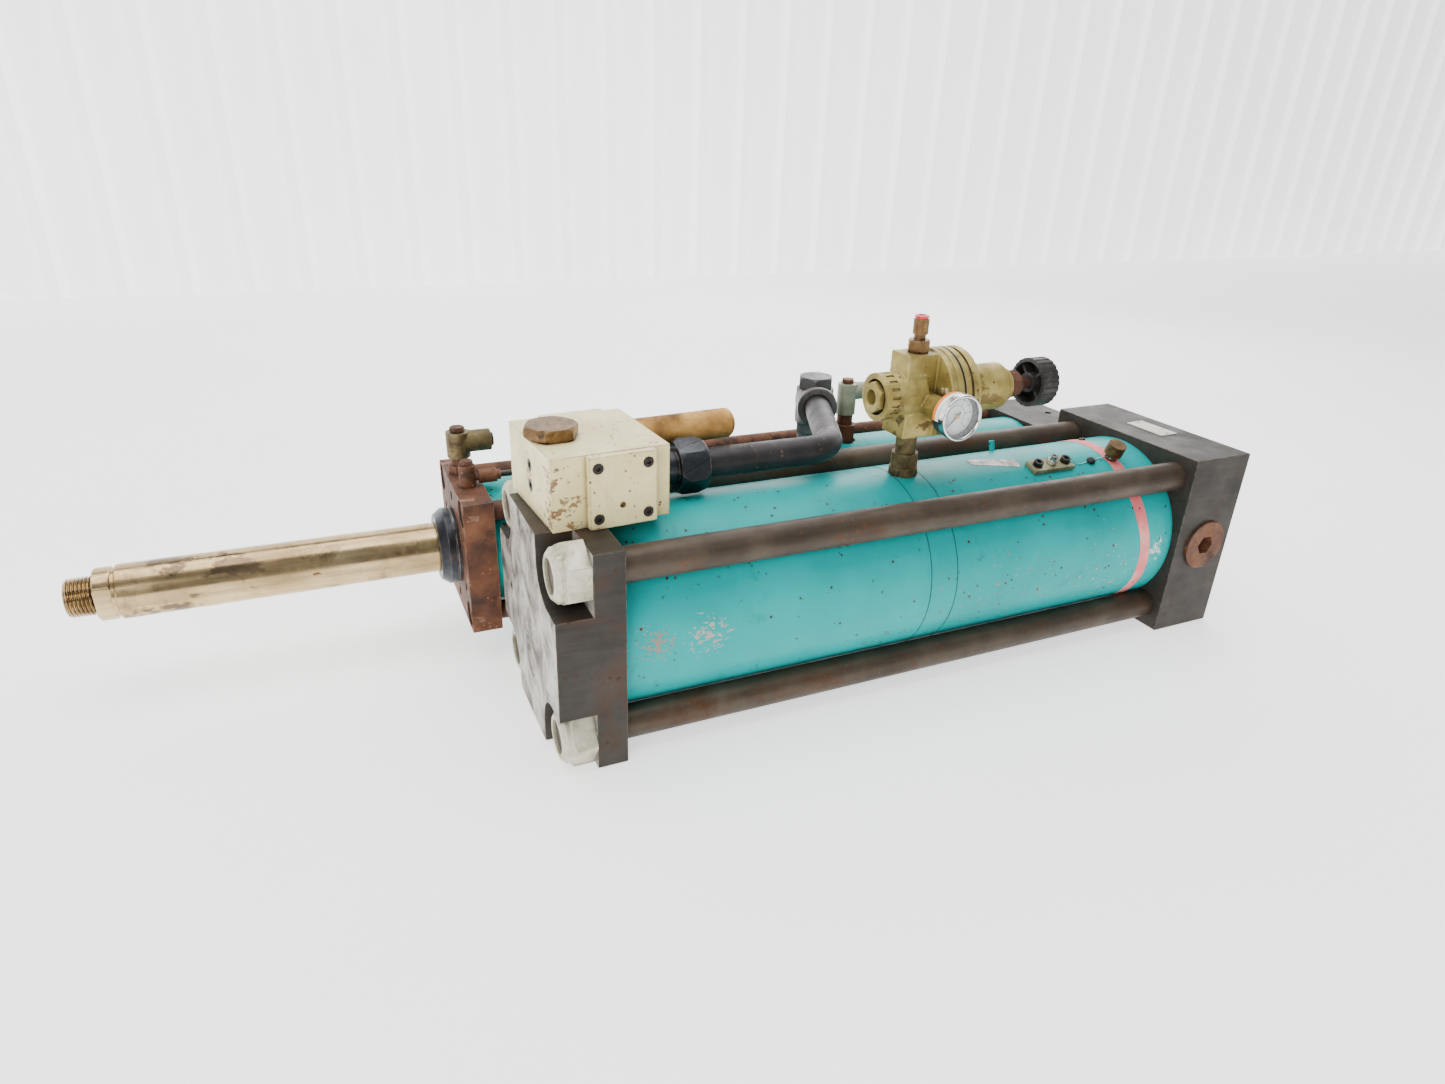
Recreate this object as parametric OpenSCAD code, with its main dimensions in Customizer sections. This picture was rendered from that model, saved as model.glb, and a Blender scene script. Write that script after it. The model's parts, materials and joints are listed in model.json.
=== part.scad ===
// Twin press cylinder: a compressed-air intensifier lies beside the hydraulic
// working cylinder that it drives. X runs along both cylinders, +X towards the rear,
// and the ram leaves at -X. Z = 0 is the base. Y = 0 is the intensifier's centre plane.
// X = 0 is the face that the front tie-rod nuts seat on.

/* [Intensifier] */
// Side of the square front and rear heads
head_size = 200; // [196:1:210]
// Thickness of the front head behind the nut pockets
front_plate = 27; // [24:1:34]
// Depth of the four corner nut pockets
pocket_depth = 31.5; // [30:0.5:40]
// Side of each corner pocket
pocket_side = 54; // [52:1:56]
// Thickness of the rear head
rear_plate = 78; // [70:1:90]
// Distance between the two heads
tube_span = 618.5; // [610:0.5:640]
// Outside diameter of the intensifier tube
tube_od = 184; // [180:1:184]
// Bore of the air cylinder
air_bore = 160; // [150:1:164]
// Bore of the high-pressure oil chamber
oil_bore = 90; // [80:1:110]
// Tie rod diameter
tie_d = 30; // [26:1:30]
// Tie rod centre to the side of the head
tie_inset = 24; // [24:1:26]
// Nut size across flats
nut_af = 48; // [44:1:48]
// Stroke of the air piston
boost_stroke = 200; // [120:10:210]
// Diameter of the high-pressure plunger
plunger_d = 40; // [30:1:50]

/* [Working cylinder] */
// Y position of the working cylinder's axis
ram_y = 176; // [174:1:180]
// Side of its square rod head and rear head
work_size = 136; // [134:1:140]
// Thickness of the rod head
rod_head_t = 29; // [26:1:32]
// Outside diameter of the working tube
work_od = 130; // [126:1:130]
// Bore of the ram chamber
ram_bore = 80; // [70:1:90]
// Bore of the oil reservoir behind it
tank_bore = 110; // [100:1:114]
// Ram diameter
ram_d = 50; // [40:1:56]
// Ram stroke
ram_stroke = 250; // [150:10:260]
// Working tie bolt diameter
work_tie_d = 19; // [16:1:20]
// Working tie bolt centre to the cylinder's axis, along Y and Z
work_tie = 54; // [54:1:56]

/* [Valve block] */
// Length of the block along X
valve_l = 102; // [98:1:106]
// Depth of the block along Y
valve_w = 109; // [104:1:112]
// Height of the block
valve_h = 62; // [60:1:66]
// Twist of the block about Z, in degrees
valve_turn = 4; // [0:1:6]
// Travel of the spool
spool_travel = 8; // [4:1:10]

/* [Pipes and fittings] */
// Outside diameter of the transfer pipe
pipe_d = 28; // [24:1:30]
// Bend radius of the transfer pipe
pipe_bend = 45; // [40:1:50]
// Angle that the transfer pipe turns through
pipe_turn = 66; // [60:1:70]
// Outside diameter of the pilot tube
pilot_d = 6; // [5:1:8]
// Travel of a release collar
collar_travel = 1; // [0.5:0.1:1.5]

/* [Regulator] */
// Diameter of the regulator's bonnet flange
bonnet_d = 85; // [82:1:87]
// Handwheel diameter
wheel_d = 49; // [44:1:54]
// Gauge diameter
gauge_d = 43; // [40:1:52]

/* [Hidden] */
$fn = 64;

fit = 0.05;      // radial clearance of a running fit
eps = 0.01;      // overshoot of a cutting tool
axis_z = head_size / 2;
head_x = -pocket_depth;
tube_x = front_plate;
rear_x = front_plate + tube_span;
back_x = rear_x + rear_plate;
tie_at = head_size / 2 - tie_inset;
ring_x = [332, 362];      // partition ring of the intensifier
rod_head_x = -63;
work_tube_x = rod_head_x + rod_head_t;
mid_x = [325, 415];       // mid ring of the working cylinder
ram_z = axis_z;
spot_z = ram_z + work_od / 2 - 3;  // spot faces on the working cylinder's mid ring
work_low = ram_z - work_size / 2;
work_near = ram_y - work_size / 2;
nut_seat_t = 28.5;        // length of a lock nut
valve_at = [29.6, 6.7, head_size];
cover_t = 8;
pipe_z = 217;
pipe_y = 18;
elbow_at = [347, ram_y];
head_elbow_at = [-48.5, 200];
banjo_at = [-48.5, 158];
tube_elbow_at = [390, ram_y];
reg_x = 347;              // centre of the regulator's body
reg_y = -5;
reg_z = 271.5;
reg_low = reg_z - 39;     // underside of the regulator's body
riser_z = axis_z + tube_od / 2 - 1.5;  // spot face that the riser stands on
reg_wall = reg_x + 29;    // joint face between body and bonnet
seat_x = reg_wall + 35;   // face of the regulating spring's seat
wheel_x = reg_wall + 111; // near face of the handwheel
gauge_at = [354, -71, 266];
gauge_deep = 14;
spring_turns = 6;
spring_len = 32;
spring_r = 12;
wire_r = 1.4;
ring_n = 8;
step_n = 20 * spring_turns;
bend_tangent = pipe_bend * tan(pipe_turn / 2);
corner_x = elbow_at[0] - (elbow_at[1] - pipe_y) / tan(pipe_turn);
bend_x = corner_x - bend_tangent;
leg = norm([elbow_at[0] - corner_x, elbow_at[1] - pipe_y]) - bend_tangent - 16;
pilot_bend = 20;
strip_x = 512;
filler_x = 597;
fitting_tilt = 20;        // lean of the strip and the filler plug towards -Y
lug_at = [488, -19];      // X and tilt of the welded lug
pilot_at = [14, 177];     // X and Z where the pilot tube enters the front head

// Helpers that stand a shape's own Z axis along X, Y or -X
module on_x(x, y, z) translate([x, y, z]) rotate([0, 90, 0]) children();
module on_y(x, y, z) translate([x, y, z]) rotate([-90, 0, 0]) children();
module on_neg_x(x, y, z) translate([x, y, z]) rotate([0, -90, 0]) children();

module rod_x(x0, x1, d, y = 0, z = axis_z) on_x(x0, y, z) cylinder(h = x1 - x0, d = d);

module tube_of_x(x0, x1, od, id, y = 0, z = axis_z) difference() {
    rod_x(x0, x1, od, y, z);
    rod_x(x0 - eps, x1 + eps, id, y, z);
}

module hex(af, h) cylinder(h = h, d = af / cos(30), $fn = 6);

// Hexagon with both ends chamfered
module hex_cap(af, h) intersection() {
    hex(af, h);
    union() {
        cylinder(h = h * 0.25, d1 = af * 1.02, d2 = af * 1.16);
        translate([0, 0, h * 0.25]) cylinder(h = h * 0.5, d = af * 1.16);
        translate([0, 0, h * 0.75]) cylinder(h = h * 0.25, d1 = af * 1.16, d2 = af * 1.02);
    }
}

// Socket head screw with its head downwards from z = 0 to h
module socket_screw(d, head_d, h, shank, socket) difference() {
    union() {
        cylinder(h = h, d = head_d);
        translate([0, 0, -shank]) cylinder(h = shank, d = d);
    }
    translate([0, 0, h * 0.35]) hex(socket, h);
}

module booster_corners() for (sy = [-1, 1], sz = [-1, 1])
    translate([0, sy * tie_at, axis_z + sz * tie_at]) children();

module work_corners() for (sy = [-1, 1], sz = [-1, 1])
    translate([0, ram_y + sy * work_tie, ram_z + sz * work_tie]) children();

// Z axis of a child leaves the intensifier tube's axis, tilted towards -Y
module on_tube(x, tilt) translate([x, 0, axis_z]) rotate([tilt, 0, 0]) children();

module valve_frame() translate(valve_at) rotate([0, 0, valve_turn]) children();

// Corner pocket: square outside, rounded about the tie rod inside
module nut_pocket(sy, sz) translate([head_x - eps, sy * tie_at, axis_z + sz * tie_at])
    rotate([90, 0, 90]) linear_extrude(height = pocket_depth + eps) {
        circle(r = pocket_side - tie_inset);
        for (turn = [0, 1])
            scale([sy, sz]) mirror([turn, -turn, 0])
                translate([0, tie_inset - pocket_side]) square([tie_inset + 1, pocket_side + 1]);
    }

module booster_front_head() color([0.25, 0.24, 0.23]) difference() {
    translate([head_x, -head_size / 2, 0])
        cube([pocket_depth + front_plate, head_size, head_size]);
    for (sy = [-1, 1], sz = [-1, 1]) nut_pocket(sy, sz);
    booster_corners() rod_x(-1, tube_x + 1, tie_d, 0, 0);
    tube_of_x(tube_x - 5, tube_x + eps, air_bore + 8, air_bore - 4);
    rod_x(head_x - eps, head_x + 12, 7, 62, 102);
    translate([8, 5, axis_z]) cylinder(h = head_size, d = 14);
    valve_frame() translate([-44, 34, -16]) cylinder(h = 20, d = 8);
    on_y(pilot_at[0], 92, pilot_at[1]) cylinder(h = 10, d = pilot_d);
}

module booster_rear_head() color([0.25, 0.24, 0.23]) difference() {
    translate([rear_x, -head_size / 2, 0]) cube([rear_plate, head_size, head_size]);
    booster_corners() rod_x(rear_x - eps, rear_x + 50, tie_d, 0, 0);
    tube_of_x(rear_x - eps, rear_x + 5, oil_bore + 10, oil_bore);
    rod_x(rear_x - eps, rear_x + 50, 30);
    on_y(687, -head_size / 2 - 1, axis_z) cylinder(h = 27, d = 54);
    on_y(687, -60, axis_z) cylinder(h = 161, d = 20);
}

module booster_front_tube() color([0.25, 0.78, 0.77])
    tube_of_x(tube_x, ring_x[0], tube_od, air_bore);

module partition_ring() color([0.25, 0.78, 0.77]) difference() {
    union() {
        rod_x(ring_x[0], ring_x[1], tube_od);
        rod_x(ring_x[0] - 8, ring_x[0], air_bore);
    }
    rod_x(ring_x[0] - 8 - eps, ring_x[1] + eps, plunger_d + 14);
    translate([reg_x, reg_y, axis_z + 60]) cylinder(h = 40, d = 20);
    translate([reg_x, reg_y, riser_z]) cylinder(h = 10, d = 29);
}

// The rear tube carries a welded lug, drilled for a tag
module booster_rear_tube() color([0.25, 0.78, 0.77]) difference() {
    union() {
        rod_x(ring_x[1], rear_x, tube_od);
        on_tube(lug_at[0], lug_at[1]) translate([0, 0, 80]) cylinder(h = 23, d = 6);
    }
    rod_x(ring_x[1] - eps, rear_x + eps, oil_bore);
    on_tube(filler_x, fitting_tilt) translate([0, 0, 74]) cylinder(h = 40, d = 13);
    on_tube(strip_x, fitting_tilt) for (x = [-18, 0, 18])
        translate([x, 0, 80]) cylinder(h = 30, d = 6);
    on_tube(lug_at[0], lug_at[1]) on_x(-10, 0, 99.5) cylinder(h = 20, d = 2.2);
}

module booster_tie_rods() color([0.30, 0.26, 0.24]) booster_corners()
    rod_x(-nut_seat_t + 3, rear_x + 50, tie_d, 0, 0);

// Lock nuts: the upper pair stands on a corner, the lower pair on a flat
module tie_rod_nuts() color([0.80, 0.78, 0.68]) for (sy = [-1, 1], sz = [-1, 1])
    on_neg_x(0, sy * tie_at, axis_z + sz * tie_at) difference() {
        union() {
            intersection() {
                rotate([0, 0, sz > 0 ? 0 : 30]) hex(nut_af, nut_seat_t * 0.72);
                union() {
                    cylinder(h = nut_seat_t * 0.62, d = nut_af * 1.2);
                    translate([0, 0, nut_seat_t * 0.62])
                        cylinder(h = nut_seat_t * 0.1, d1 = nut_af * 1.2, d2 = nut_af);
                }
            }
            cylinder(h = nut_seat_t * 0.86, d = nut_af - 2);
            translate([0, 0, nut_seat_t * 0.86])
                cylinder(h = nut_seat_t * 0.14, d1 = nut_af - 2, d2 = nut_af - 11);
        }
        translate([0, 0, -eps]) cylinder(h = nut_seat_t + 1, d = tie_d);
    }

// Square-section rings in the rod gland and at the ends of the tubes
module frame_seals() color([0.08, 0.08, 0.08]) {
    tube_of_x(rod_head_x - 8, rod_head_x - 3, ram_d + 12, ram_d + 2 * fit, ram_y, ram_z);
    tube_of_x(ring_x[0] - 4, ring_x[0] + 1, plunger_d + 14, plunger_d + 2 * fit);
    tube_of_x(tube_x - 5, tube_x, air_bore + 8, air_bore - 4);
    tube_of_x(rear_x, rear_x + 5, oil_bore + 10, oil_bore);
}

module booster_piston() color([0.72, 0.72, 0.74]) difference() {
    rod_x(35, 75, air_bore - 2 * fit);
    rod_x(34, 76, 26);
    for (x = [42, 62]) tube_of_x(x, x + 6, air_bore + 1, air_bore - 14);
}

module booster_piston_seals() color([0.1, 0.1, 0.1]) for (x = [42, 62])
    tube_of_x(x, x + 6, air_bore - 2 * fit, air_bore - 14);

module plunger() color([0.82, 0.83, 0.85]) {
    rod_x(35, 75, 26);
    rod_x(75, 400, plunger_d);
}

module guide_bushes() color([0.72, 0.55, 0.28]) {
    tube_of_x(ring_x[0] + 1, ring_x[1], plunger_d + 14, plunger_d + 2 * fit);
    tube_of_x(rod_head_x - 3, work_tube_x + 2, ram_d + 14, ram_d + 2 * fit, ram_y, ram_z);
}

module rear_port_plug() color([0.55, 0.45, 0.33]) on_y(687, -head_size / 2 - 3, axis_z)
    difference() {
        cylinder(h = 29, d = 54);
        translate([0, 0, -eps]) hex(19, 14);
    }

module name_plate() color([0.75, 0.74, 0.68]) {
    translate([690 - 12, -23, head_size]) cube([24, 50, 1]);
    for (y = [-19, 23]) translate([690, y, head_size + 1]) cylinder(h = 1.2, d = 4);
}

module filler_plug() color([0.45, 0.36, 0.24]) on_tube(filler_x, fitting_tilt) {
    translate([0, 0, 76]) cylinder(h = 22, d = 13);
    translate([0, 0, 98]) cylinder(h = 13, d = 19);
}

module port_strip() color([0.55, 0.53, 0.40]) difference() {
    on_tube(strip_x, fitting_tilt) translate([-26, -8.5, 86]) cube([52, 17, 11]);
    rod_x(strip_x - 40, strip_x + 40, tube_od, $fn = 240);
    on_tube(strip_x, fitting_tilt) for (x = [-18, 0, 18])
        translate([x, 0, 80]) cylinder(h = 30, d = 6);
}

module test_nipple() color([0.80, 0.80, 0.80]) on_tube(strip_x, fitting_tilt) difference() {
    union() {
        translate([0, 0, 84]) cylinder(h = 13, d = 6);
        translate([0, 0, 97]) hex_cap(9, 5);
        translate([0, 0, 102]) cylinder(h = 5, d = 7);
    }
    translate([0, 0, 102]) cylinder(h = 6, d = 3);
}

// Two screws in the port strip, eight in the valve covers, two in the valve block's side
module socket_screws() color([0.20, 0.19, 0.18]) {
    on_tube(strip_x, fitting_tilt) for (x = [-18, 18])
        translate([x, 0, 97]) socket_screw(6, 10, 5, 12, 5);
    valve_frame() for (s = [-1, 1], x = [-14.5, 28.5], z = [9, 52])
        translate([x, s * (valve_w / 2 + cover_t - 3), z]) rotate([-90 * s, 0, 0])
            socket_screw(4, 8, 2.9, 12, 4);
    valve_frame() for (z = [22, 40])
        translate([-valve_l / 2 + 3, 0, z]) rotate([0, -90, 0])
            socket_screw(5, 9.5, 2.8, 10, 5);
}

module rod_head() color([0.42, 0.26, 0.20]) difference() {
    translate([rod_head_x, work_near, work_low]) cube([rod_head_t, work_size, work_size]);
    rod_x(rod_head_x - 1, work_tube_x + 1, ram_d + 14, ram_y, ram_z);
    work_corners() {
        rod_x(rod_head_x - 1, work_tube_x + 1, work_tie_d + 0.6, 0, 0);
        rod_x(rod_head_x - 1, rod_head_x + 14, 28, 0, 0);
    }
    for (a = [30:60:330]) on_x(rod_head_x - 1, ram_y + 53 * cos(a), ram_z + 53 * sin(a))
        cylinder(h = 23, d = 10.2);
    for (p = [head_elbow_at, banjo_at]) translate([p[0], p[1], ram_z + work_size / 2 - 18])
        cylinder(h = 20, d = 10);
}

module gland_nose() color([0.30, 0.27, 0.26]) on_neg_x(rod_head_x, ram_y, ram_z) difference() {
    union() {
        cylinder(h = 3, d = 76);
        translate([0, 0, 3]) cylinder(h = 1, d = 73);
        translate([0, 0, 4]) cylinder(h = 7, d = 78);
        translate([0, 0, 11]) cylinder(h = 8, d1 = 78, d2 = 66);
    }
    translate([0, 0, -1]) cylinder(h = 4, d = ram_d + 14);
    translate([0, 0, 3]) cylinder(h = 5, d = ram_d + 12);
    translate([0, 0, 8 - eps]) cylinder(h = 12, d = ram_d + 1);
}

module working_front_tube() color([0.25, 0.78, 0.77])
    tube_of_x(work_tube_x, mid_x[0], work_od, ram_bore, ram_y, ram_z);

module working_mid_ring() color([0.25, 0.78, 0.77]) difference() {
    rod_x(mid_x[0], mid_x[1], work_od, ram_y, ram_z);
    rod_x(mid_x[0] - 1, mid_x[1] + 1, 16, ram_y, ram_z);
    translate([elbow_at[0], elbow_at[1], ram_z + 20]) cylinder(h = 50, d = 22);
    translate([elbow_at[0], elbow_at[1], spot_z]) cylinder(h = 20, d = 36);
    translate([tube_elbow_at[0], tube_elbow_at[1], ram_z + 20]) cylinder(h = 50, d = 10);
    translate([tube_elbow_at[0], tube_elbow_at[1], spot_z]) cylinder(h = 20, d = 29);
}

module working_rear_tube() color([0.25, 0.78, 0.77])
    tube_of_x(mid_x[1], rear_x, work_od, tank_bore, ram_y, ram_z);

module working_rear_head() color([0.26, 0.25, 0.24]) difference() {
    translate([rear_x, work_near, work_low]) cube([rear_plate, work_size, work_size]);
    work_corners() rod_x(rear_x - 1, rear_x + 40, work_tie_d, 0, 0);
    rod_x(rear_x - 1, rear_x + 45, 30, ram_y, ram_z);
    on_y(687, work_near - 1, ram_z) cylinder(h = 60, d = 20);
    translate([rear_x + 58, ram_y, ram_z + work_size / 2 - 16]) cylinder(h = 20, d = 8.5);
}

module working_tie_bolts() color([0.34, 0.22, 0.18]) work_corners() difference() {
    union() {
        rod_x(rod_head_x + 14, rear_x + 40, work_tie_d, 0, 0);
        rod_x(rod_head_x + 2, rod_head_x + 14, 27, 0, 0);
    }
    on_x(rod_head_x + 1, 0, 0) hex(14, 8);
}

// A saddle at the front and a drilled plate at the rear join the two cylinders
module head_spacers() color([0.24, 0.22, 0.21]) {
    difference() {
        translate([-26, head_size / 2, 58]) cube([38, 18, 84]);
        rod_x(-40, 40, work_od, ram_y, ram_z);
    }
    difference() {
        translate([rear_x + 4, head_size / 2, 45]) cube([70, work_near - head_size / 2, 110]);
        on_y(687, head_size / 2 - 1, ram_z) cylinder(h = 20, d = 20);
    }
}

module piston_rod() color([0.78, 0.70, 0.55]) {
    difference() {
        rod_x(-398, -375, 36, ram_y, ram_z);
        on_x(-399, ram_y, ram_z) cylinder(h = 3, d1 = 16, d2 = 8);
    }
    difference() {
        rod_x(-375, -361, 48, ram_y, ram_z);
        for (s = [-1, 1]) translate([-376, ram_y + s * 30 - 10, ram_z - 30]) cube([16, 20, 60]);
    }
    rod_x(-361, -358, 45, ram_y, ram_z);
    rod_x(-358, -30, ram_d, ram_y, ram_z);
    rod_x(-30, 24, 30, ram_y, ram_z);
}

module ram_piston() color([0.70, 0.70, 0.72]) difference() {
    rod_x(-30, 24, ram_bore - 2 * fit, ram_y, ram_z);
    rod_x(-31, 25, 30, ram_y, ram_z);
    for (x = [-18, 6]) tube_of_x(x, x + 6, ram_bore + 1, ram_bore - 12, ram_y, ram_z);
}

module ram_piston_seals() color([0.1, 0.1, 0.1]) for (x = [-18, 6])
    tube_of_x(x, x + 6, ram_bore - 2 * fit, ram_bore - 12, ram_y, ram_z);

module tank_separator() color([0.15, 0.15, 0.16])
    rod_x(mid_x[1] + 5, mid_x[1] + 35, tank_bore - 2 * fit, ram_y, ram_z);

module valve_body() color([0.87, 0.84, 0.70]) valve_frame() difference() {
    translate([-valve_l / 2, -valve_w / 2, 0]) cube([valve_l, valve_w, valve_h]);
    on_y(7, -valve_w / 2 - 1, 31) cylinder(h = valve_w + 2, d = 24 + 2 * fit);
    translate([-31, 0, 46]) cylinder(h = 40, d = 30);
    for (s = [-1, 1], x = [-14.5, 28.5], z = [9, 52])
        translate([x, s * (valve_w / 2 + 1), z]) rotate([90 * s, 0, 0])
            cylinder(h = 13, d = 4);
    for (z = [22, 40]) on_x(-valve_l / 2 - 1, 0, z) {
        cylinder(h = 4, d = 10);
        cylinder(h = 14, d = 5);
    }
    on_x(valve_l / 2 - 15, 36, 42) cylinder(h = 20, d = 16);
    on_x(valve_l / 2 - 20, 8, 17) cylinder(h = 25, d = 22);
    translate([-44, 34, -1]) cylinder(h = 12, d = 8);
}

module spool_covers() color([0.87, 0.85, 0.74]) valve_frame() for (s = [-1, 1])
    translate([-22, s > 0 ? valve_w / 2 : -valve_w / 2 - cover_t, 0.5]) difference() {
        cube([58, cover_t, 61]);
        for (x = [7.5, 50.5], z = [8.5, 51.5]) {
            on_y(x, -1, z) cylinder(h = cover_t + 2, d = 4);
            translate([x, s > 0 ? cover_t - 3 : -1, z]) rotate([-90, 0, 0])
                cylinder(h = 4, d = 9);
        }
        on_y(28, s > 0 ? 4 : -1, 18) cylinder(h = 5, d = 5);
    }

module cap_plug() color([0.50, 0.36, 0.22]) valve_frame() translate([-31, 0, 0]) {
    translate([0, 0, 46]) cylinder(h = valve_h - 46, d = 30);
    translate([0, 0, valve_h]) hex_cap(41, 11);
}

module valve_spool() color([0.75, 0.76, 0.78]) valve_frame() on_y(7, -50, 31) {
    cylinder(h = 92, d = 14);
    for (z = [0, 36, 72]) translate([0, 0, z]) cylinder(h = 20, d = 24);
}

module muffler() color([0.66, 0.50, 0.24]) valve_frame()
    on_x(valve_l / 2, 36, 42) {
        translate([0, 0, -12]) cylinder(h = 16, d = 16);
        translate([0, 0, 4]) cylinder(h = 96, d = 28);
        translate([0, 0, 100]) scale([1, 1, 0.6]) intersection() {
            sphere(d = 28);
            translate([-20, -20, 0]) cube(40);
        }
    }

module pipe_nut() color([0.20, 0.22, 0.25]) difference() {
    union() {
        rod_x(76, 112, 34, pipe_y, pipe_z);
        on_x(112, pipe_y, pipe_z) rotate([0, 0, -17]) hex_cap(45, 28);
    }
    rod_x(75, 90, 22, pipe_y, pipe_z);
    rod_x(90, 141, pipe_d, pipe_y, pipe_z);
    valve_frame() translate([-valve_l / 2, -valve_w / 2, -10])
        cube([valve_l, valve_w, valve_h + 20]);
}

// A drawn bend is slightly thinner than the straight pipe
module transfer_pipe() color([0.22, 0.20, 0.20]) {
    rod_x(90, bend_x, pipe_d, pipe_y, pipe_z);
    translate([bend_x, pipe_y + pipe_bend, pipe_z]) rotate([0, 0, -90])
        rotate_extrude(angle = pipe_turn) translate([pipe_bend, 0]) circle(d = pipe_d - 0.2);
    translate([corner_x, pipe_y, pipe_z]) rotate([0, 0, pipe_turn]) rotate([0, 90, 0])
        translate([0, 0, bend_tangent]) cylinder(h = leg, d = pipe_d);
}

module pipe_elbow() color([0.26, 0.24, 0.24]) translate([elbow_at[0], elbow_at[1], 0])
    difference() {
        union() {
            translate([0, 0, ram_z + 50]) cylinder(h = 20, d = 22);
            translate([0, 0, spot_z]) cylinder(h = ram_z + 81 - spot_z, d = 34);
            translate([0, 0, ram_z + 80]) hex(36, 12);
            translate([0, 0, ram_z + 91]) cylinder(h = 40, d = 42);
            rotate([0, 0, 180 + pipe_turn]) translate([0, 0, pipe_z]) rotate([0, 90, 0])
                cylinder(h = 36, d = 44);
        }
        rotate([0, 0, 180 + pipe_turn]) translate([0, 0, pipe_z]) rotate([0, 90, 0])
            translate([0, 0, 16]) cylinder(h = 30, d = pipe_d);
        translate([0, 0, ram_z + 116]) cylinder(h = 16, d = 24);
        translate([0, 0, ram_z + 131]) cylinder(h = 20, d = 56);
    }

module elbow_plug() color([0.26, 0.25, 0.25]) translate([elbow_at[0], elbow_at[1], 0]) {
    translate([0, 0, ram_z + 116]) cylinder(h = 15, d = 24);
    translate([0, 0, ram_z + 131]) hex_cap(36, 13);
}

// Hollow bolt of a swivel elbow: hexagon foot, plain neck, shank and low head
module elbow_bolt(foot, foot_h, neck_d, neck_h, body_h) {
    translate([0, 0, -12]) cylinder(h = 12, d = 10);
    hex(foot, foot_h);
    translate([0, 0, foot_h]) cylinder(h = neck_h, d = neck_d);
    translate([0, 0, foot_h + neck_h]) cylinder(h = body_h + 0.4, d = 10);
    translate([0, 0, foot_h + neck_h + body_h + 0.4]) hex_cap(13, 5);
}

module elbow_bolts() color([0.42, 0.33, 0.26]) {
    translate([head_elbow_at[0], head_elbow_at[1], ram_z + work_size / 2])
        elbow_bolt(20, 9, 16, 8, 26);
    translate([tube_elbow_at[0], tube_elbow_at[1], spot_z]) elbow_bolt(24, 22, 18, 12, 36);
}

// Body of a swivel push-in elbow: barrel round the bolt and a socket along +X
module elbow_body(barrel_d, barrel_h, socket_d, reach) difference() {
    union() {
        cylinder(h = barrel_h, d = barrel_d);
        translate([0, 0, barrel_h - socket_d / 2]) rotate([0, 90, 0])
            cylinder(h = reach, d = socket_d);
    }
    translate([0, 0, -1]) cylinder(h = barrel_h + 2, d = 10 + 2 * fit);
    translate([0, 0, barrel_h - socket_d / 2]) rotate([0, 90, 0])
        translate([0, 0, reach - 16]) cylinder(h = 20, d = 12);
}

// Release collar at the mouth of a push-in socket
module collar() difference() {
    union() {
        cylinder(h = 9, d = 12 - 2 * fit);
        translate([0, 0, 9]) cylinder(h = 1.6, d = 13.5);
    }
    translate([0, 0, -1]) cylinder(h = 20, d = 8.2);
}

module head_elbow() color([0.38, 0.34, 0.27])
    translate([head_elbow_at[0], head_elbow_at[1], ram_z + work_size / 2 + 17.2])
        elbow_body(23, 26, 22, 32);

module head_elbow_collar() color([0.20, 0.19, 0.18])
    on_x(head_elbow_at[0] + 32 - 8, head_elbow_at[1], ram_z + work_size / 2 + 17.2 + 15)
        collar();

module tube_elbow() color([0.60, 0.62, 0.52])
    translate([tube_elbow_at[0], tube_elbow_at[1], spot_z + 34.2])
        elbow_body(22, 36, 20, 34);

module tube_elbow_collar() color([0.35, 0.33, 0.28])
    on_x(tube_elbow_at[0] + 34 - 8, tube_elbow_at[1], spot_z + 34.2 + 26)
        collar();

module banjo_elbow() color([0.36, 0.28, 0.22])
    translate([banjo_at[0], banjo_at[1], ram_z + work_size / 2]) difference() {
        union() {
            translate([0, 0, -12]) cylinder(h = 12, d = 10);
            cylinder(h = 22, d = 16);
            translate([0, 0, 22]) hex_cap(11, 5);
            translate([0, 0, 9]) rotate([0, 90, 0]) {
                cylinder(h = 12, d = 8);
                translate([0, 0, 11]) cylinder(h = 17, d = 14);
                translate([0, 0, 28]) cylinder(h = 4, d = 10);
            }
        }
        translate([0, 0, 9]) rotate([0, 90, 0]) translate([0, 0, 16]) cylinder(h = 20, d = pilot_d);
    }

// The pilot tube bends into the front head's far side
module pilot_tube() color([0.12, 0.12, 0.12]) {
    on_x(banjo_at[0] + 16, banjo_at[1], pilot_at[1])
        cylinder(h = pilot_at[0] - pilot_bend - banjo_at[0] - 16, d = pilot_d);
    translate([pilot_at[0] - pilot_bend, banjo_at[1] - pilot_bend, pilot_at[1]])
        rotate_extrude(angle = 90) translate([pilot_bend, 0]) circle(d = pilot_d - 0.1);
    on_y(pilot_at[0], 92, pilot_at[1])
        cylinder(h = banjo_at[1] - pilot_bend - 92, d = pilot_d);
}

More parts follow.
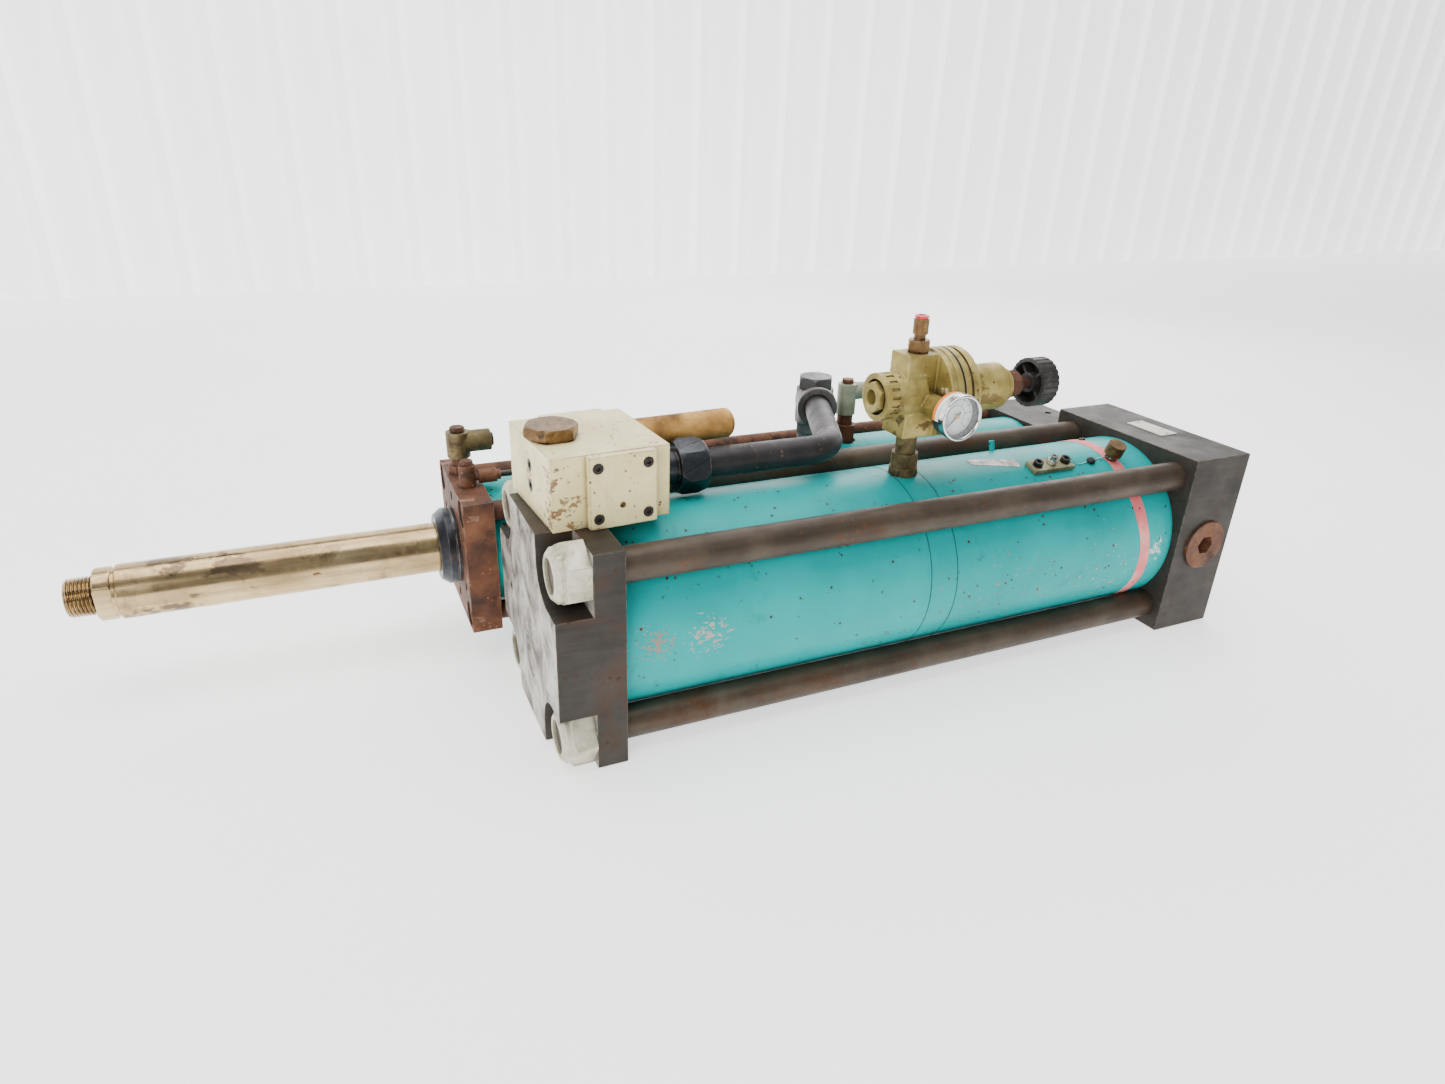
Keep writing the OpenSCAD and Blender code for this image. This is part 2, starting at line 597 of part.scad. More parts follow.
module regulator_body() color([0.60, 0.54, 0.32]) difference() {
    union() {
        on_x(reg_x - 34, reg_y, reg_z) cylinder(h = 40, d = 38);
        on_x(reg_x - 26, reg_y, reg_z) cylinder(h = 30, d = 45);
        on_x(reg_wall - 14, reg_y, reg_z) cylinder(h = 6, d = bonnet_d);
        on_x(reg_wall - 9, reg_y, reg_z) cylinder(h = 4, d = bonnet_d - 4);
        on_x(reg_wall - 6, reg_y, reg_z) cylinder(h = 6, d = bonnet_d);
        translate([reg_x - 18, reg_y - 15, reg_z]) cube([34, 30, 40]);
        translate([reg_x - 18, reg_y - 18, reg_low]) cube([36, 36, 35]);
        on_y(gauge_at[0], gauge_at[1] + 20, gauge_at[2]) hex(19, 44);
    }
    on_x(reg_x - 35, reg_y, reg_z) cylinder(h = 22, d = 24);
    on_x(reg_wall - 9, reg_y, reg_z) cylinder(h = 10, d = 60);
    on_x(reg_x - 14, reg_y, reg_z) cylinder(h = 50, d = 8);
    translate([reg_x + 1, reg_y, reg_z]) cylinder(h = 42, d = 12);
    translate([reg_x, reg_y, reg_low - 1]) cylinder(h = 40, d = 16);
    on_y(gauge_at[0], gauge_at[1] + 19, gauge_at[2]) cylinder(h = 34, d = 9);
}

module ring_nut() color([0.62, 0.56, 0.33]) on_neg_x(reg_x - 26, reg_y, reg_z) difference() {
    cylinder(h = 15.5, d = 45);
    for (a = [0:20:340]) rotate([0, 0, a]) translate([21, -1.5, 2]) cube([3, 3, 9]);
    translate([0, 0, -1]) cylinder(h = 10, d = 38);
    translate([0, 0, 8]) cylinder(h = 8, d = 34);
}

module inlet_plug() color([0.58, 0.50, 0.30]) on_neg_x(reg_x - 13, reg_y, reg_z) difference() {
    union() {
        cylinder(h = 21, d = 24);
        translate([0, 0, 21]) hex_cap(27, 12);
    }
    translate([0, 0, 8]) cylinder(h = 34, d = 15);
}

module bonnet() color([0.62, 0.57, 0.35]) difference() {
    union() {
        on_x(reg_wall + 2, reg_y, reg_z) cylinder(h = 6, d = bonnet_d);
        on_x(reg_wall + 8, reg_y, reg_z) cylinder(h = 3, d = bonnet_d - 5);
        on_x(reg_wall + 11, reg_y, reg_z) cylinder(h = 8, d = bonnet_d);
        on_x(reg_wall + 19, reg_y, reg_z) cylinder(h = 4, d1 = bonnet_d - 4, d2 = 50);
        on_x(reg_wall + 23, reg_y, reg_z) cylinder(h = 47, d = 46);
        on_x(reg_wall + 70, reg_y, reg_z) cylinder(h = 5, d1 = 46, d2 = 36);
        on_x(reg_wall + 75, reg_y, reg_z) cylinder(h = 5, d = 34);
    }
    on_x(reg_wall + 1, reg_y, reg_z) cylinder(h = 56, d = 36);
    on_x(reg_wall + 50, reg_y, reg_z) cylinder(h = 40, d = 12 + 2 * fit);
    on_y(reg_wall + 15, reg_y - bonnet_d / 2 - 1, reg_z) cylinder(h = 32, d = 4);
}

module diaphragm() color([0.12, 0.11, 0.10]) on_x(reg_wall, reg_y, reg_z)
    cylinder(h = 2, d = bonnet_d - 1);

// Coil spring swept from a ring of points at each step
function coil_point(i, j) = let (
        a = 360 * spring_turns * i / step_n,
        b = 360 * j / ring_n,
        r = spring_r + wire_r * cos(b)
    ) [r * cos(a), r * sin(a), wire_r + (spring_len - 2 * wire_r) * i / step_n + wire_r * sin(b)];
coil_points = [for (i = [0:step_n], j = [0:ring_n - 1]) coil_point(i, j)];
coil_sides = [for (i = [0:step_n - 1], j = [0:ring_n - 1]) let (k = (j + 1) % ring_n)
    [i * ring_n + j, i * ring_n + k, (i + 1) * ring_n + k, (i + 1) * ring_n + j]];
coil_ends = [[for (j = [ring_n - 1:-1:0]) j], [for (j = [0:ring_n - 1]) step_n * ring_n + j]];

module regulator_spring() color([0.70, 0.70, 0.72]) on_x(reg_wall + 2.5, reg_y, reg_z)
    polyhedron(points = coil_points, faces = concat(coil_sides, coil_ends), convexity = 10);

module spring_seat() color([0.66, 0.66, 0.68])
    on_x(seat_x, reg_y, reg_z) cylinder(h = 4, d = 30);

module adjusting_screw() color([0.46, 0.30, 0.20]) {
    on_x(seat_x + 4.3, reg_y, reg_z) cylinder(h = wheel_x + 10 - seat_x - 4.3, d = 12);
    on_x(reg_wall + 84, reg_y, reg_z) hex_cap(25, 11);
    on_x(reg_wall + 95, reg_y, reg_z) cylinder(h = 5, d = 18);
}

// Handwheel: hub, four spokes, ribbed rim and a closed far face
module handwheel() color([0.10, 0.10, 0.10]) on_x(wheel_x, reg_y, reg_z) {
    difference() {
        cylinder(h = 20, d = wheel_d);
        translate([0, 0, -1]) cylinder(h = 17, d = wheel_d - 8);
        translate([0, 0, -1]) cylinder(h = 11, d = 12);
        for (a = [0:15:345]) rotate([0, 0, a])
            translate([wheel_d / 2 + 0.4, 0, -1]) cylinder(h = 30, d = 2.4, $fn = 16);
    }
    difference() {
        union() {
            cylinder(h = 17, d = 20);
            for (a = [45:90:315]) rotate([0, 0, a]) translate([8, -1.5, 4])
                cube([wheel_d / 2 - 11, 3, 13]);
        }
        translate([0, 0, -1]) cylinder(h = 11, d = 12);
    }
}

module riser() color([0.50, 0.44, 0.26]) translate([reg_x, reg_y, 0]) difference() {
    union() {
        translate([0, 0, axis_z + 60]) cylinder(h = 40, d = 20);
        translate([0, 0, riser_z]) cylinder(h = 8, d = 28);
        translate([0, 0, riser_z + 8]) hex_cap(25, 15);
        translate([0, 0, riser_z + 23]) cylinder(h = reg_low - riser_z - 23, d = 20);
        translate([0, 0, reg_low]) cylinder(h = 20, d = 16);
    }
    translate([0, 0, axis_z + 50]) cylinder(h = 200, d = 10);
}

module outlet_fitting() color([0.50, 0.40, 0.24]) translate([reg_x + 1, reg_y, reg_z])
    difference() {
        union() {
            translate([0, 0, 28]) cylinder(h = 12, d = 12);
            translate([0, 0, 40]) hex_cap(19, 12);
            translate([0, 0, 52]) cylinder(h = 5, d = 11);
            translate([0, 0, 57]) cylinder(h = 14, d = 14.5);
        }
        translate([0, 0, 20]) cylinder(h = 60, d = 6);
        translate([0, 0, 58]) cylinder(h = 20, d = 12);
    }

module push_collar() color([0.85, 0.10, 0.12])
    translate([reg_x + 1, reg_y, reg_z + 63.6]) collar();

// The gauge faces -Y; its stem screws into the boss on the regulator's body
module gauge_case() color([0.10, 0.10, 0.10]) on_y(gauge_at[0], gauge_at[1], gauge_at[2]) {
    difference() {
        union() {
            cylinder(h = gauge_deep, d = gauge_d - 2);
            translate([0, 0, -2]) cylinder(h = 6, d = gauge_d);
            translate([0, 0, gauge_deep]) cylinder(h = 38, d = 9);
        }
        translate([0, 0, -3]) cylinder(h = 10, d = gauge_d - 6);
        translate([0, 0, 6]) cylinder(h = 5, d = 2 + 2 * fit);
    }
}

// Pointer at zero, on a spindle in the middle of the gauge
module gauge_pointer() color([0.15, 0.15, 0.18])
    on_y(gauge_at[0], gauge_at[1] + 4, gauge_at[2]) {
        translate([0, 0, -1]) cylinder(h = 6, d = 2);
        rotate([0, 0, 127]) translate([-5, -0.5, 0]) cube([21, 1, 0.8]);
    }

booster_front_head();
booster_rear_head();
booster_front_tube();
partition_ring();
booster_rear_tube();
booster_tie_rods();
tie_rod_nuts();
frame_seals();
booster_piston();
booster_piston_seals();
plunger();
guide_bushes();
rear_port_plug();
name_plate();
filler_plug();
port_strip();
test_nipple();
socket_screws();
rod_head();
gland_nose();
working_front_tube();
working_mid_ring();
working_rear_tube();
working_rear_head();
working_tie_bolts();
head_spacers();
piston_rod();
ram_piston();
ram_piston_seals();
tank_separator();
valve_body();
spool_covers();
cap_plug();
valve_spool();
muffler();
pipe_nut();
transfer_pipe();
pipe_elbow();
elbow_plug();
elbow_bolts();
head_elbow();
head_elbow_collar();
banjo_elbow();
pilot_tube();
tube_elbow();
tube_elbow_collar();
regulator_body();
ring_nut();
inlet_plug();
bonnet();
diaphragm();
regulator_spring();
spring_seat();
adjusting_screw();
handwheel();
riser();
outlet_fitting();
push_collar();
gauge_case();
gauge_pointer();
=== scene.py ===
"""Twin press cylinder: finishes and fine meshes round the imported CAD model.

Lengths are in millimetres and become metres through MM. X runs along both cylinders
towards the rear, +Y goes from the intensifier to the working cylinder, +Z is up.
"""

import json
import math

import bmesh
import bpy
from mathutils import Matrix, Vector


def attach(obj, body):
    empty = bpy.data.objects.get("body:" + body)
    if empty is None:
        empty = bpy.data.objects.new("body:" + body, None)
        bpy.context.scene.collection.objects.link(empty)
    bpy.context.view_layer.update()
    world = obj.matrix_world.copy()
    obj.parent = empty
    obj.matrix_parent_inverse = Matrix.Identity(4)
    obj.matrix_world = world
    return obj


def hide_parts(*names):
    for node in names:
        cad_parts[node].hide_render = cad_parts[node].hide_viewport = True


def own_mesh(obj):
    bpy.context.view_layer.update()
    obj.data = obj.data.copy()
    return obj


MM = 0.001
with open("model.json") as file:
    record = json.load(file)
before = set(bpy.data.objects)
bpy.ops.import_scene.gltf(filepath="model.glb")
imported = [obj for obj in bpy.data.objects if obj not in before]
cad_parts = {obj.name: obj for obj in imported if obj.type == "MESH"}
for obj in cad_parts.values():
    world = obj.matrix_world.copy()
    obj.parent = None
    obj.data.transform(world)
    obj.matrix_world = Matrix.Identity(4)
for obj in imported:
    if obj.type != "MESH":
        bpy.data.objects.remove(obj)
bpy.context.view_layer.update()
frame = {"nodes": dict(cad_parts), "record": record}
record = frame["record"]
BODY_OF = {n: body for body, nodes in record["behaviour"]["bodies"].items() for n in nodes}
SLOT_OF = {s["node"]: s["material_slot"] for s in record["subparts"]}

# ---------------------------------------------------------------- sizes, mm
AXIS_Z = 100.0  # both cylinders
RAM_Y = 176.0
TUBE_R = 92.0
GAUGE = Vector((354.0, -71.0, 266.0))
FITTING_TILT = 20.0  # degrees that the strip and filler plug lean to -Y


# ---------------------------------------------------------------- materials
def rgb(r, g, b):
    """Linear colour of an 8-bit sRGB one."""

    def lin(c):
        c /= 255.0
        return c / 12.92 if c <= 0.04045 else ((c + 0.055) / 1.055) ** 2.4

    return (lin(r), lin(g), lin(b), 1.0)


class Nodes:
    """A material's node tree, with short calls for the nodes used here."""

    def __init__(self, name):
        self.mat = bpy.data.materials.new(name)
        self.mat.use_nodes = True
        self.tree = self.mat.node_tree
        self.tree.nodes.clear()
        self.out = self.tree.nodes.new("ShaderNodeOutputMaterial")
        self.bsdf = self.tree.nodes.new("ShaderNodeBsdfPrincipled")
        self.tree.links.new(self.bsdf.outputs[0], self.out.inputs["Surface"])
        self.coords = self.tree.nodes.new("ShaderNodeTexCoord").outputs["Object"]
        self.normal = None

    def put(self, socket, value):
        if isinstance(value, bpy.types.NodeSocket):
            self.tree.links.new(value, socket)
        else:
            socket.default_value = value

    def node(self, kind, inputs, **settings):
        made = self.tree.nodes.new(kind)
        for key, value in settings.items():
            setattr(made, key, value)
        for key, value in inputs.items():
            self.put(made.inputs[key], value)
        return made

    def math(self, operation, a, b=0.0):
        return self.node("ShaderNodeMath", {0: a, 1: b}, operation=operation).outputs[0]

    def span(self, value, low, high, to_low=0.0, to_high=1.0):
        """value from low to high, as to_low to to_high, clamped."""
        made = self.node("ShaderNodeMapRange", {0: value, 1: low, 2: high, 3: to_low, 4: to_high})
        made.clamp = True
        return made.outputs[0]

    def stretched(self, stretch, turn=(0.0, 0.0, 0.0)):
        made = self.node("ShaderNodeMapping", {"Vector": self.coords, "Scale": stretch,
                                               "Rotation": [math.radians(a) for a in turn]})
        return made.outputs[0]

    def noise(self, scale, detail=4.0, rough=0.55, stretch=None, distort=0.0):
        where = self.stretched(stretch) if stretch else self.coords
        made = self.node("ShaderNodeTexNoise", {"Vector": where, "Scale": scale, "Detail": detail,
                                                "Roughness": rough, "Distortion": distort})
        return made.outputs["Fac"]

    def mix(self, factor, a, b):
        made = self.tree.nodes.new("ShaderNodeMix")
        made.data_type = "RGBA"
        self.put(made.inputs["Factor"], factor)
        self.put(made.inputs[6], a)
        self.put(made.inputs[7], b)
        return made.outputs[2]

    def edges(self, width):
        """1 on sharp convex and concave edges, falling to 0 within width."""
        bevel = self.node("ShaderNodeBevel", {"Radius": width}, samples=6).outputs[0]
        flat = self.node("ShaderNodeNewGeometry", {}).outputs["True Normal"]
        dot = self.node("ShaderNodeVectorMath", {0: bevel, 1: flat}, operation="DOT_PRODUCT")
        return self.span(dot.outputs["Value"], 0.995, 0.86)

    def facing_front(self):
        """How far the surface looks towards -X, from -1 to 1."""
        own = self.node("ShaderNodeTexCoord", {}).outputs["Normal"]
        split = self.node("ShaderNodeSeparateXYZ", {0: own})
        return self.math("MULTIPLY", split.outputs["X"], -1.0)

    def ahead_of(self, x):
        """1 in front of the plane at x mm, 0 behind it."""
        split = self.node("ShaderNodeSeparateXYZ", {0: self.coords})
        return self.span(split.outputs["X"], (x + 1) * MM, x * MM)

    def crevices(self, distance):
        """Ambient occlusion mask for painted shade: 1 where surfaces crowd together, 0 in the open."""
        ao = self.node("ShaderNodeAmbientOcclusion", {"Distance": distance}, samples=6)
        return self.span(ao.outputs["AO"], 0.85, 0.35)


def aged(name, tones, scale=14.0, metallic=0.0, rough=(0.4, 0.6), grime=None, edge=None, specks=None,
         streaks=None, dirt_and_shade=None, bump=(0.15, 400.0), coat=0.0, chips=None, front=None, patches=(),
         reflect=0.35):
    """Worn finish, with painted shade in crevices where that is asked for.

    tones: dark, middle and light colour, mixed by soft noise of that scale.
    grime: (colour, share, noise scale) laid in soft patches.
    streaks: (colour, strength, (x, y, z) stretch) for drawn or brushed marks.
    dirt: (colour, strength, reach in m) of painted shade with soiling in crevices, found by ambient
    occlusion.
    specks: (colour, share, scale) of small sharp-edged spots.
    chips: (colour, share, scale, metallic) of larger flakes off the paint.
    edge: (colour, strength, width in m, metallic) on worn edges.
    reflect: strength of the plain reflection, for paint and other non-metals.
    front: (dark, light) tones of the front head's faces that look towards -X.
    patches: (centre in mm, radius in mm, colour, strength, grain) of flaked spots that thin outwards; on the
    rod two are also a painted dark reflection, and on the regulator's lower block two are painted shadow.
    """
    t = Nodes(name)
    dark, middle, light = tones
    soft = t.noise(scale, 5.0, 0.6)
    colour = t.mix(t.span(soft, 0.3, 0.52), dark, middle)
    colour = t.mix(t.span(soft, 0.5, 0.72), colour, light)
    metal = metallic
    shine = t.span(t.noise(scale * 3.1, 4.0, 0.6), 0.3, 0.7, rough[0], rough[1])
    if streaks:
        lines = t.noise(60.0, 6.0, 0.7, stretch=streaks[2])
        colour = t.mix(t.math("MULTIPLY", t.span(lines, 0.42, 0.68), streaks[1]), colour, streaks[0])
    if grime:
        patch = t.noise(grime[2], 6.0, 0.68, distort=0.6)
        low = 0.72 - 0.42 * grime[1]
        colour = t.mix(t.span(patch, low, low + 0.16), colour, grime[0])
    if front:
        faces = t.math("MULTIPLY", t.span(t.facing_front(), 0.8, 0.95), t.ahead_of(40.0))
        worn = t.span(t.noise(24.0, 7.0, 0.7, distort=0.8), 0.4, 0.62)
        colour = t.mix(faces, colour, t.mix(worn, front[1], front[0]))
    for centre, radius, tint, strength, grain in patches:
        reach = t.node("ShaderNodeVectorMath", {0: t.coords, 1: Vector(centre) * MM}, operation="DISTANCE")
        sparse = t.math("MULTIPLY", reach.outputs["Value"], 0.25 / (radius * MM))
        flakes = t.math("SUBTRACT", t.noise(grain, 5.0, 0.62, stretch=(0.7, 1, 1)), sparse)
        colour = t.mix(t.math("MULTIPLY", t.span(flakes, 0.44, 0.48), strength), colour, tint)
    # Painted shade with soiling: crevices found by ambient occlusion darken towards the given colour.
    if dirt_and_shade:
        colour = t.mix(t.math("MULTIPLY", t.crevices(dirt_and_shade[2]), dirt_and_shade[1]), colour, dirt_and_shade[0])
    height = t.noise(bump[1], 5.0, 0.6)
    if specks:
        cell = t.node("ShaderNodeTexVoronoi", {"Vector": t.coords, "Scale": specks[2],
                                               "Randomness": 1.0}).outputs["Distance"]
        gate = t.span(t.noise(specks[2] * 0.31, 3.0, 0.5), 0.62 - 0.3 * specks[1], 0.7)
        spot = t.math("MULTIPLY", t.span(cell, 0.26, 0.18), t.span(gate, 0.35, 0.6))
        colour = t.mix(spot, colour, specks[0])
    if chips:
        flake = t.noise(chips[2], 8.0, 0.72, distort=0.3)
        low = 0.74 - 0.3 * chips[1]
        mask = t.span(flake, low, low + 0.012)
        colour = t.mix(mask, colour, chips[0])
        height = t.math("SUBTRACT", height, t.math("MULTIPLY", mask, 1.5))
        metal = t.math("MAXIMUM", metal, t.math("MULTIPLY", mask, chips[3]))
    if edge:
        ragged = t.math("MULTIPLY", t.edges(edge[2]), t.span(t.noise(90.0, 6.0, 0.7), 0.4, 0.56))
        worn = t.math("MULTIPLY", ragged, edge[1])
        colour = t.mix(worn, colour, edge[0])
        metal = t.math("ADD", t.math("MULTIPLY", worn, edge[3] - metallic), metal)
    t.put(t.bsdf.inputs["Base Color"], colour)
    t.put(t.bsdf.inputs["Metallic"], metal)
    t.put(t.bsdf.inputs["Roughness"], shine)
    t.bsdf.inputs["Coat Weight"].default_value = coat
    t.bsdf.inputs["Specular IOR Level"].default_value = reflect
    t.bsdf.inputs["Coat Roughness"].default_value = 0.15
    relief = t.node("ShaderNodeBump", {"Height": height, "Strength": bump[0], "Distance": 0.0006})
    t.put(t.bsdf.inputs["Normal"], relief.outputs[0])
    return t.mat


DARK_RUST = rgb(64, 42, 32)
# Near-black for painted shade with soot in crevices.
SOOT_AND_SHADE = rgb(30, 27, 25)

